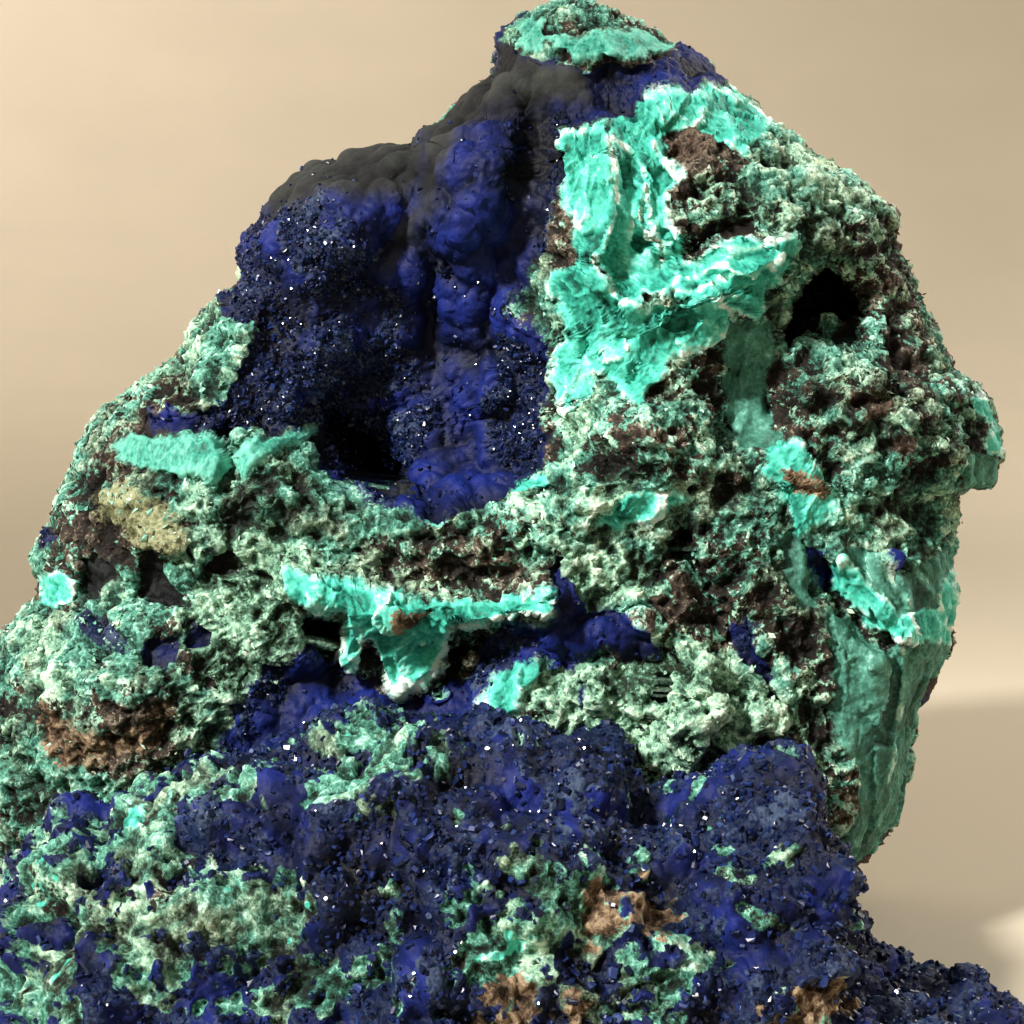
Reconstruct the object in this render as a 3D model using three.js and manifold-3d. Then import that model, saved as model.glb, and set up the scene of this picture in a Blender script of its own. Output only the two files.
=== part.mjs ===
// An azurite and malachite specimen: one intergrown lump of rock, sawn flat where it stands.
//
// It is two masses that grew together. The tall one is a thick leaf of rock that leans back a little,
// and its front carries a crystal-lined pocket, malachite columns, ledges and a small cave. The apron is
// a loaf-shaped mass that bulges out in front of its foot. They are joined here into one solid.
//
// Both are worked out on a sheet that lies against the front of the tall mass: "across" runs to the
// right, "up" runs up the sheet, and "depth" runs away behind it. Units are millimetres, +Z is up and +Y
// points to the back of the rock. The origin lies on the sawn base, under the middle of the rock.
import * as THREE from "three";
import Module from "manifold-3d";
import { mergeVertices } from "three/addons/utils/BufferGeometryUtils.js";

const SHEET_MIDDLE = [3.8, -0.25, 48]; // where across, up and depth are all zero
const LEAN = THREE.MathUtils.degToRad(8); // how far the sheet leans back
const FLARE = 1 / 200; // how much each mm of depth widens the rock, as a share of its width
const TRIM = 120; // more than half the rock's width, for the cut below the base

// The tall mass: its edges as [up, across] from the foot to the peak, and its section.
const TALL = {
  left: [
    [-62, -40], [-52, -41], [-46, -43], [-39, -47], [-35, -51.2], [-29, -55], [-22, -56], [-17, -54],
    [-12.8, -50.7], [-9, -47], [-3.8, -47.2], [0.2, -45.2], [5.2, -43.2], [8.2, -41.7], [10.2, -40.2],
    [12.7, -36.2], [15.2, -33.2], [19.7, -30.7], [22.7, -27.2], [27.2, -26.2], [32.2, -22.2],
    [35.2, -16.2], [36.2, -10.2], [38.2, -7.2], [43.2, -2.2], [46.7, -0.7], [49, 0.8], [50.9, 6.8],
  ],
  right: [
    [-62, 26], [-50, 27], [-42, 29], [-36, 33], [-34.6, 34.6], [-33.8, 35.8], [-28.8, 38.8],
    [-19.8, 40.3], [-13.8, 43.3], [-7.8, 44.3], [-4.8, 43.8], [2.2, 44.3], [3.0, 48.3], [6.2, 48.8],
    [11.7, 47.3], [13.7, 43.8], [21.2, 40.3], [27.7, 37.8], [29.7, 38.0], [33.7, 32.8], [36.2, 28.8],
    [40.7, 23.3], [44.4, 19.3], [48, 12.8], [50.9, 6.8],
  ],
  ridge: 18, // depth of the widest part
  front: 18, // how far the front swells forward of it
  back: 19,
  squareness: 3.2, // of its section: 2 would make an ellipse
  shoulder: 6, // where the rock starts to thin towards its peak
  crown: 2.6, // the squareness of that thinning
  sectors: 84,
  frontShare: 0.64, // the share of the sectors that lie on the front
  rows: 44,
};

// The apron: its top line as [across, up] from left to right.
const APRON = {
  top: [
    [-51.4, -64], [-51.2, -44], [-49.2, -35.8], [-44, -28.8], [-38, -26.6], [-32, -25], [-26, -22.6],
    [-18, -19], [-8, -20.6], [1, -20.1], [9, -21.6], [15, -25.6], [21, -24.3], [27, -23.3],
    [32, -25.8], [34.2, -29], [34.6, -36], [36.5, -41], [40, -44.6], [44, -46.4], [49, -48.9],
    [53, -52], [55, -64],
  ],
  foot: -64, // up, lower than the base at every depth
  ridge: -10,
  front: 22,
  back: 26,
  squareness: 2.5,
  ends: 5, // the squareness of its two ends
  sectors: 44,
  rows: 36,
};

// Knobs and hollows of the tall front: across, up, half width, half height, turn in degrees, and rise
// towards the front.
const RELIEF = [
  [-8.0, 14.0, 21, 26, 15, -7.0], // crystal pocket
  [-15.0, 7.0, 11, 11, 0, -5.0], // the pocket's deep corner
  [-18.0, 28.0, 11, 9, 30, 5.0], // mound beside the pocket
  [-5.5, 30.0, 16, 6, 60, 3.0], // ridge down the pocket
  [9.0, 47.5, 11, 6, -10, 4.0], // cap at the peak
  [9.0, 31.0, 8, 14, 0, 3.5], // malachite column
  [18.0, 32.0, 6, 9, 8, 2.5], // second column
  [28.0, 31.0, 13, 13, -30, 5.0], // crumbly dome
  [17.5, 20.0, 10, 5, -6, 3.5], // malachite ridge under the columns
  [31.0, 20.0, 9, 8, -10, -9.0], // cave
  [24.0, 12.5, 6, 9, 5, -6.0], // green hollow
  [39.0, 10.0, 10, 8, -20, 3.0], // right shoulder
  [13.0, 7.0, 10, 9, 40, 4.0], // crumbly ridge at the centre
  [-20.0, 2.5, 11, 6, -22, 4.0], // ledge under the pocket, left
  [-6.0, -1.5, 13, 6, 0, 4.0], // ledge, middle
  [5.0, 1.0, 9, 6, 14, 3.0], // ledge, right
  [-10.0, -16.5, 17, 7, 3, -5.0], // recess under the lower lip
  [-35.0, -1.0, 14, 10, 20, 3.0], // left shoulder
  [-40.0, -18.0, 16, 11, 15, 5.0], // lower left bulge
  [19.0, -20.0, 9, 8, 20, 5.0], // granular knob
  [38.0, -17.0, 8, 16, 5, 3.0], // right slab
];

// Slow swells that keep the sides and the back from being plain: rise, turn for each mm across, turn for
// each mm up, and where the turn starts, in radians.
const SWELLS = [
  [1.6, 1 / 9, 1 / 14, 0],
  [1.2, -1 / 17, 1 / 7, 1],
];
const APRON_SWELLS = [[1.5, 1 / 8, 0, 0.6 + Math.PI / 2]];
const SAME_PLACE = 1e-3; // points nearer than this are one corner

const smooth = (t) => {
  const x = THREE.MathUtils.clamp(t, 0, 1);
  return x * x * (3 - 2 * x);
};

// The value of a line of [place, value] points at a place along it.
function along(line, place) {
  const next = line.findIndex(([at]) => at >= place);
  if (next <= 0) return line[next === 0 ? 0 : line.length - 1][1];
  const [from, low] = line[next - 1];
  const [to, high] = line[next];
  return THREE.MathUtils.lerp(low, high, (place - from) / (to - from));
}

// How far a rounded square of half size 1 reaches at this place from its middle.
function bulge(place, squareness) {
  return (1 - Math.min(Math.abs(place), 1) ** squareness) ** (1 / squareness);
}

// How far the knobs and hollows bring the front forward.
function relief(across, up) {
  let forward = 0;
  for (const [a, b, halfWidth, halfHeight, turn, rise] of RELIEF) {
    const angle = THREE.MathUtils.degToRad(turn);
    const x = ((across - a) * Math.cos(angle) + (up - b) * Math.sin(angle)) / halfWidth;
    const y = ((up - b) * Math.cos(angle) - (across - a) * Math.sin(angle)) / halfHeight;
    forward += rise * smooth(1 - Math.hypot(x, y));
  }
  return forward;
}

// How far the swells bring a side or the back out.
function swell(swells, across, up) {
  let out = 0;
  for (const [rise, turnAcross, turnUp, start] of swells) {
    out += rise * Math.sin(across * turnAcross + up * turnUp + start);
  }
  return out;
}

// A point of the rock from its place on the sheet.
function place(across, up, depth) {
  const wider = 1 + FLARE * depth;
  return [
    SHEET_MIDDLE[0] + across * wider,
    SHEET_MIDDLE[1] + depth * Math.cos(LEAN) + up * wider * Math.sin(LEAN),
    SHEET_MIDDLE[2] + up * wider * Math.cos(LEAN) - depth * Math.sin(LEAN),
  ];
}

// The tall mass's surface: sections across it, stacked from the foot to the peak. The turn runs from
// the left edge over the front to the right edge, and back behind.
function tallPoint(turn, climb) {
  const { left, right, ridge, front, back, squareness, shoulder, crown, frontShare } = TALL;
  const foot = left[0][0];
  const peak = left[left.length - 1][0];
  const up = THREE.MathUtils.lerp(foot, peak, climb);
  const inFront = turn < frontShare;
  const share = inFront ? turn / frontShare : (1 - turn) / (1 - frontShare);
  const even = 2 * share - 1;
  const side = (even + Math.sin((even * Math.PI) / 2)) / 2; // closer together towards the edges
  const thinning = bulge(Math.max(0, (up - shoulder) / (peak - shoulder)), crown);
  const thickness = thinning * bulge(side, squareness);
  const low = along(left, up);
  const high = along(right, up);
  const across = (low + high) / 2 + (side * (high - low)) / 2;
  const forward = front + relief(across, up);
  const backward = back + swell(SWELLS, across, up);
  const depth = inFront ? ridge - thickness * forward : ridge + thickness * backward;
  return place(across, up, depth);
}

// The apron's surface: upright sections, set side by side from left to right. The turn runs from the
// back over the top to the front.
function apronPoint(turn, climb) {
  const { top, foot, ridge, front, back, squareness, ends } = APRON;
  const acrosses = [];
  const crests = [];
  let walked = 0;
  for (const [i, [a, b]] of top.entries()) {
    if (i > 0) walked += Math.hypot(a - top[i - 1][0], b - top[i - 1][1]);
    acrosses.push([walked, a]);
    crests.push([walked, b]);
  }
  const across = along(acrosses, climb * walked);
  const crest = along(crests, climb * walked);
  const middle = (top[0][0] + top[top.length - 1][0]) / 2;
  const narrowing = bulge((across - middle) / (top[top.length - 1][0] - middle), ends);
  const x = Math.cos(turn * 2 * Math.PI);
  const y = Math.sin(turn * 2 * Math.PI);
  const out = (Math.abs(x) ** squareness + Math.abs(y) ** squareness) ** (-1 / squareness);
  const reach = x > 0 ? back : front + swell(APRON_SWELLS, across, crest);
  const depth = ridge + x * out * narrowing * reach;
  return place(across, foot + (crest - foot) * y * out, depth);
}

// A closed mass: a capped cylinder's grid, laid on a surface of turn and climb.
function massGeometry({ sectors, rows }, pointAt) {
  const grid = new THREE.CylinderGeometry(1, 1, 1, sectors, rows);
  const points = grid.getAttribute("position");
  for (let i = 0; i < points.count; i++) {
    const climb = points.getY(i) + 0.5;
    const turn = (Math.atan2(points.getX(i), points.getZ(i)) / (2 * Math.PI) + 1) % 1;
    if (Math.hypot(points.getX(i), points.getZ(i)) > 0.5) {
      points.setXYZ(i, ...pointAt(turn, climb));
    } else {
      const one = new THREE.Vector3(...pointAt(0, climb));
      points.setXYZ(i, ...one.lerp(new THREE.Vector3(...pointAt(0.5, climb)), 0.5));
    }
  }
  return grid;
}

const wasm = await Module();
wasm.setup();

// A closed geometry as a solid that can be joined and cut.
function solidOf(geometry) {
  const bare = geometry.clone();
  bare.deleteAttribute("normal");
  bare.deleteAttribute("uv");
  const merged = mergeVertices(bare, SAME_PLACE);
  return new wasm.Manifold(
    new wasm.Mesh({
      numProp: 3,
      vertProperties: merged.getAttribute("position").array,
      triVerts: new Uint32Array(merged.index.array),
    }),
  );
}

function geometryOf(solid) {
  const { vertProperties, triVerts } = solid.getMesh();
  const geometry = new THREE.BufferGeometry();
  geometry.setAttribute("position", new THREE.BufferAttribute(vertProperties, 3));
  geometry.setIndex(new THREE.BufferAttribute(triVerts, 1));
  geometry.computeVertexNormals();
  return geometry;
}

// The two masses joined, and everything below the base sawn away.
function rockGeometry() {
  const tall = solidOf(massGeometry(TALL, tallPoint));
  const apron = solidOf(massGeometry(APRON, apronPoint));
  const below = new THREE.BoxGeometry(2 * TRIM, 2 * TRIM, TRIM).translate(0, 0, -TRIM / 2);
  return geometryOf(tall.add(apron).subtract(solidOf(below)));
}

const rock = new THREE.Mesh(
  rockGeometry(),
  new THREE.MeshStandardMaterial({ color: 0x1f5f5a, roughness: 0.8, metalness: 0, flatShading: true }),
);
rock.name = "azurite_malachite_rock";

const specimen = new THREE.Group();
specimen.add(rock);

export default specimen;
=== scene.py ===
# %% [markdown]
# # An azurite and malachite rock
# This lesson makes the looks of one hand-sized rock. It is a single lump: dark blue azurite crystals line
# a pocket in its tall front, green malachite fills the cracks, and crumbly rock carries both. A loaf of
# the same rock, covered in fine blue crystals, bulges out in front of the foot.
#
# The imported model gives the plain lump. Its surface could be sculpted by hand, but nothing could then be
# changed later. So every surface here is worked out with numpy from the same few sizes as the lump, and
# each mineral adds a relief and a finish of its own.

import math

import bpy
import numpy as np
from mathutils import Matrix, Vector


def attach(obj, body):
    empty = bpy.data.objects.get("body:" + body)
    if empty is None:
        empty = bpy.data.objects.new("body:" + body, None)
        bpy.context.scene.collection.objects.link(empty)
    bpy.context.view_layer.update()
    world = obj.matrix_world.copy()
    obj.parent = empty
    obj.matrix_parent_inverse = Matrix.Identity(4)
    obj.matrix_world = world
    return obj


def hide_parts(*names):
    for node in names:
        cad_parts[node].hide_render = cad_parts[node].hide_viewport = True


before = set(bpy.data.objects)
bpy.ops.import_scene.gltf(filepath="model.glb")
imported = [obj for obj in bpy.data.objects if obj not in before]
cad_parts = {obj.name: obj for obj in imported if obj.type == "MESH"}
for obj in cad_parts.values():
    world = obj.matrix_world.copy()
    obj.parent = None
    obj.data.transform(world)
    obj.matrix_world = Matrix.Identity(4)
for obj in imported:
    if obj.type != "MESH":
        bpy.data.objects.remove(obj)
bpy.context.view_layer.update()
LUMP = "azurite_malachite_rock"
MM = 0.001  # the lesson works in millimetres, and Blender in metres

# %% [markdown]
# ## The sheet
# The tall mass is worked out on a sheet that lies against its front and leans back. "Across" runs to the
# right, "up" runs up the sheet and "depth" runs away behind it. The rock grows a little wider with depth.
# Points could be placed straight in x, y and z, but on the sheet a pocket or a vein keeps its outline
# when the surface under it moves in or out. Arrays of points have x, y and z along their first axis.

# %% The sheet's place
SHEET_MIDDLE = (3.8, -0.25, 48.0)
LEAN = math.radians(8)
FLARE = 1 / 200


def place(across, up, depth):
    """Points in the row frame: the sheet's middle, plus across and up widened by depth, turned by LEAN."""
    wider = 1 + FLARE * depth
    x = SHEET_MIDDLE[0] + across * wider
    y = SHEET_MIDDLE[1] + depth * math.cos(LEAN) + up * wider * math.sin(LEAN)
    z = SHEET_MIDDLE[2] + up * wider * math.cos(LEAN) - depth * math.sin(LEAN)
    return np.stack(np.broadcast_arrays(x, y, z)).astype(np.float32)


def base_up(depth):
    """How far up the sheet the sawn base lies at a depth: the up at which place() gives a height of 0."""
    return (depth * math.sin(LEAN) - SHEET_MIDDLE[2]) / ((1 + FLARE * depth) * math.cos(LEAN))


print("up of the base at depth 0:", round(float(base_up(0)), 1))

# %% [markdown]
# ## The camera
# It looks along the sheet's depth, so it looks down by the sheet's lean. At the distance where the rock's
# flare starts, features keep their place in the picture however far they stand out.

# %% The camera
EYE_DISTANCE = 1 / FLARE
HALF_VIEW = 51.2  # mm of the sheet from the middle of the view to its edge

eye = Vector(place(0, 0, -EYE_DISTANCE)) * MM
target = Vector(place(0, 0, 0)) * MM
camera = bpy.data.objects.new("camera", bpy.data.cameras.new("camera"))
camera.data.angle = 2 * math.atan(HALF_VIEW / EYE_DISTANCE)
camera.data.clip_start = 0.01
camera.location = eye
camera.rotation_euler = (target - eye).to_track_quat("-Z", "Y").to_euler()
bpy.context.scene.collection.objects.link(camera)
bpy.context.scene.camera = camera
print("lens, mm:", round(camera.data.lens, 1))

# %% [markdown]
# ## Noise
# Rock needs unevenness of every size. Blender's texture nodes give it in a material, but here it also has
# to move the mesh, so it is worked out with numpy. Two kinds are enough: soft noise, which rolls, and
# cells, which give lumps and broken facets. Both start from whole numbers scrambled in a fixed way, so
# the rock is the same each time.

# %% Noise helpers
def scramble(i, j, k, seed):
    """Whole numbers made unruly: each times a large odd number, mixed by exclusive or, shifts and
    products."""
    mixed = i.astype(np.uint32) * np.uint32(0x8DA6B343)
    mixed ^= j.astype(np.uint32) * np.uint32(0xD8163841)
    mixed ^= k.astype(np.uint32) * np.uint32(0xCB1AB31F)
    mixed ^= np.uint32((seed * 0x9E3779B9) & 0xFFFFFFFF)
    mixed ^= mixed >> np.uint32(15)
    mixed *= np.uint32(0x2C1B3C6D)
    mixed ^= mixed >> np.uint32(12)
    mixed *= np.uint32(0x297A2D39)
    return mixed ^ (mixed >> np.uint32(15))


def three_numbers(mixed):
    """Three random numbers from 0 to 1 out of each scrambled number: ten of its bits for each."""
    low_bits = [mixed & np.uint32(1023), (mixed >> np.uint32(10)) & np.uint32(1023),
                (mixed >> np.uint32(20)) & np.uint32(1023)]
    return [bits.astype(np.float32) / np.float32(1023) for bits in low_bits]


def noise(points, size, seed):
    """Soft noise of about -1 to 1: each corner of a cubic grid of this size has a random slope, and the
    eight slopes round a point are blended by the fade 6t^5 - 15t^4 + 10t^3."""
    spot = (points / np.float32(size)).astype(np.float32)
    corner = np.floor(spot).astype(np.int32)
    part = spot - corner
    fade = part * part * part * (part * (part * 6 - 15) + 10)
    total = np.zeros(spot.shape[1:], np.float32)
    for step in np.ndindex(2, 2, 2):
        slopes = three_numbers(scramble(*(corner[n] + step[n] for n in range(3)), seed))
        rise = sum((2 * slopes[n] - 1) * (part[n] - step[n]) for n in range(3))
        for n in range(3):
            rise = rise * (fade[n] if step[n] else 1 - fade[n])
        total += rise
    return total * np.float32(1.5)


def cells(points, size, seed):
    """Each cube of a grid of this size holds one random dot. Gives the distances to the nearest dot and
    the next, the way to the nearest, all as shares of the size, and three random numbers of its own."""
    spot = (points / np.float32(size)).astype(np.float32)
    corner = np.floor(spot).astype(np.int32)
    part = spot - corner
    nearest = np.full(spot.shape[1:], 9, np.float32)
    following = nearest.copy()
    owner = np.zeros(nearest.shape, np.uint32)
    way = np.zeros(spot.shape, np.float32)
    for step in np.ndindex(3, 3, 3):
        mixed = scramble(*(corner[n] + (step[n] - 1) for n in range(3)), seed)
        dots = three_numbers(mixed)
        to_dot = np.stack([dots[n] + np.float32(step[n] - 1) - part[n] for n in range(3)])
        square = (to_dot * to_dot).sum(0)
        closer = square < nearest
        following = np.where(closer, nearest, np.minimum(following, square))
        nearest = np.where(closer, square, nearest)
        owner = np.where(closer, mixed, owner)
        way = np.where(closer, to_dot, way)
    own = three_numbers(scramble(owner, owner >> np.uint32(7), owner, seed + 1))
    return np.sqrt(nearest), np.sqrt(following), way, own


def soft(share):
    """0 below 0, 1 above 1 and 3t^2 - 2t^3 between."""
    t = np.clip(share, 0, 1)
    return t * t * (3 - 2 * t)


def lumps(points, size, seed):
    """Round lumps, side by side: 1 on top of each, and falling with the square of the distance to its dot."""
    nearest, _, _, _ = cells(points, size, seed)
    return 1 - (nearest / np.float32(0.62)) ** 2


def facets(points, size, seed):
    """Broken faces: in each cell a plane with a random tilt and height, from about -1 to 1, and how near
    a point is to the edge of its face, from 0 to 1."""
    nearest, following, way, own = cells(points, size, seed)
    tilt = sum((2 * own[n] - 1) * way[n] for n in range(3))
    return tilt + (own[0] + own[1] - 1) * np.float32(0.5), 1 - soft((following - nearest) / 0.16), own[2]


def crests(points, size, seed):
    """Sharp crests where soft noise changes sign, and rounded troughs: 1 on a crest, down to about -1."""
    return 1 - 2.4 * np.abs(noise(points, size, seed))


probe = place(np.linspace(-40, 40, 9), np.zeros(9), np.zeros(9))
print("noise along a line:", np.round(noise(probe, 5, 1), 2))

# %% [markdown]
# ## Outlines
# Each mineral's patches are closed outlines on the sheet, drawn with just enough corners. A point's signed
# distance to an outline says more than inside or outside: it gives the step at a patch's edge its width,
# and later lets the finish fray that edge. Veins and cracks are paths with a distance of their own.

# %% Distances to outlines and paths
REACH = 3.0  # mm: distances beyond this count as this


def to_sides(across, up, corners, following):
    """The distance to the nearest side: to the nearest point of each side, and the least of those."""
    nearest = np.full(across.shape, REACH, np.float32)
    for (a0, b0), (a1, b1) in zip(corners, following):
        long, high = a1 - a0, b1 - b0
        share = np.clip(((across - a0) * long + (up - b0) * high) / (long * long + high * high), 0, 1)
        nearest = np.minimum(nearest, np.hypot(across - a0 - share * long, up - b0 - share * high))
    return nearest


def inside(across, up, outline):
    """Signed distance to a closed outline, positive inside it. A point is inside when a level line from it
    to the right crosses the sides an odd number of times."""
    corners = np.array(outline, np.float32)
    following = np.roll(corners, -1, axis=0)
    low, high = corners.min(0) - REACH, corners.max(0) + REACH
    near = (across > low[0]) & (across < high[0]) & (up > low[1]) & (up < high[1])
    a, b = across[near], up[near]
    odd = np.zeros(a.shape, bool)
    for (a0, b0), (a1, b1) in zip(corners, following):
        if b0 != b1:
            odd ^= ((b0 > b) != (b1 > b)) & (a < a0 + (b - b0) * (a1 - a0) / (b1 - b0))
    distance = np.full(across.shape, -REACH, np.float32)
    sides = to_sides(a, b, corners, following)
    distance[near] = np.where(odd, sides, -sides)
    return distance


def beside(across, up, path):
    """Distance to an open path."""
    corners = np.array(path, np.float32)
    return to_sides(across, up, corners[:-1], corners[1:])


square = [(-2, -2), (2, -2), (2, 2), (-2, 2)]
print("from a square's middle to its sides:", inside(np.zeros(1), np.zeros(1), square)[0])

# %% [markdown]
# ## The tall mass
# Its level sections are rounded squares between a left and a right edge, thinner towards the peak, as on
# the plain lump. The grid runs round it in columns and up it in rows. The steps are equal along the
# surface, not across it, so the steep sides get as many faces as the front.

# %% The tall mass's edges and section
TALL_LEFT = [  # up, across
    (-62, -40), (-52, -41), (-46, -43), (-39, -47), (-35, -51.2), (-29, -55), (-22, -56), (-17, -54),
    (-12.8, -50.7), (-9, -47), (-3.8, -47.2), (0.2, -45.2), (5.2, -43.2), (8.2, -41.7), (10.2, -40.2),
    (12.7, -36.2), (15.2, -33.2), (19.7, -30.7), (22.7, -27.2), (27.2, -26.2), (32.2, -22.2),
    (35.2, -16.2), (36.2, -10.2), (38.2, -7.2), (43.2, -2.2), (46.7, -0.7), (49, 0.8), (50.9, 6.8),
]
TALL_RIGHT = [
    (-62, 26), (-50, 27), (-42, 29), (-36, 33), (-34.6, 34.6), (-33.8, 35.8), (-28.8, 38.8),
    (-19.8, 40.3), (-13.8, 43.3), (-7.8, 44.3), (-4.8, 43.8), (2.2, 44.3), (3.0, 48.3), (6.2, 48.8),
    (11.7, 47.3), (13.7, 43.8), (21.2, 40.3), (27.7, 37.8), (29.7, 38.0), (33.7, 32.8), (36.2, 28.8),
    (40.7, 23.3), (44.4, 19.3), (48, 12.8), (50.9, 6.8),
]
PEAK = 50.9
SHOULDER, CROWN = 6, 2.6  # where it starts to thin, and how squarely
RIDGE, FRONT, BACK = 18, 18, 19  # depth of the widest part, and the swell before and behind it
SQUARENESS = 3.2
ROWS, FRONT_COLUMNS, BACK_COLUMNS = 520, 540, 182

# Knobs and hollows of the front: across, up, half width, half height, turn in degrees, rise forward.
RELIEF = [
    (-8.0, 14.0, 21, 26, 15, -9.5), (-15.5, 7.5, 12, 11, 0, -7.0), (-18.0, 28.0, 11, 9, 30, 5.0),
    (-5.5, 30.0, 16, 6, 60, 3.0), (9.0, 47.5, 11, 6, -10, 4.0), (9.0, 31.0, 8, 14, 0, 3.5),
    (18.0, 32.0, 6, 9, 8, 2.5), (28.0, 31.0, 13, 13, -30, 5.0), (17.5, 20.0, 10, 5, -6, 3.5),
    (31.0, 20.0, 9, 8, -10, -9.0), (24.0, 12.5, 6, 9, 5, -4.5), (39.0, 10.0, 10, 8, -20, 3.0),
    (13.0, 7.0, 10, 9, 40, 4.0), (-20.0, 2.5, 11, 6, -22, 4.0), (-6.0, -1.5, 13, 6, 0, 4.0),
    (5.0, 1.0, 9, 6, 14, 3.0), (-10.0, -16.5, 17, 7, 3, -5.0), (-35.0, -1.0, 14, 10, 20, 3.0),
    (-40.0, -18.0, 16, 11, 15, 5.0), (19.0, -22.0, 10, 10, 20, 4.5), (38.0, -17.0, 8, 16, 5, 3.0),
]


def bulge(share, squareness):
    """How far a rounded square of half size 1 reaches at this share of its half width."""
    return (1 - np.minimum(np.abs(share), 1) ** squareness) ** (1 / squareness)


def equal_steps(along, out, count):
    """The values of along that walk the curve (along, out) in equal steps, by its summed length."""
    length = np.concatenate([[0], np.cumsum(np.hypot(np.diff(along), np.diff(out)))])
    return np.interp(np.linspace(0, length[-1], count), length, along)


def round_side(half_width, out, count):
    """Shares of the half width, from -1 to 1, in equal steps along a rounded square's section."""
    turn = np.linspace(math.pi, 0, 4000)
    share = np.sign(np.cos(turn)) * np.abs(np.cos(turn)) ** (2 / SQUARENESS)
    return equal_steps(half_width * share, out * bulge(share, SQUARENESS), count) / half_width


front_sides = round_side(44, FRONT + 4, FRONT_COLUMNS)
back_sides = -round_side(44, BACK, BACK_COLUMNS)[1:-1]
sides = np.concatenate([front_sides, back_sides])[None, :]  # once round, from the left edge
in_front = (np.arange(sides.size) < FRONT_COLUMNS)[None, :]

climb = 1 - (1 - np.linspace(0, 1, 4000)) ** 3
profile = base_up(0) + climb * (PEAK - base_up(0))
thinning = FRONT * bulge(np.maximum(0, (profile - SHOULDER) / (PEAK - SHOULDER)), CROWN)
rows = equal_steps(climb, thinning / (PEAK - base_up(0)), ROWS)[:, None]
print("round the tall mass:", sides.size, "columns; up it:", rows.size, "rows")
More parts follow.
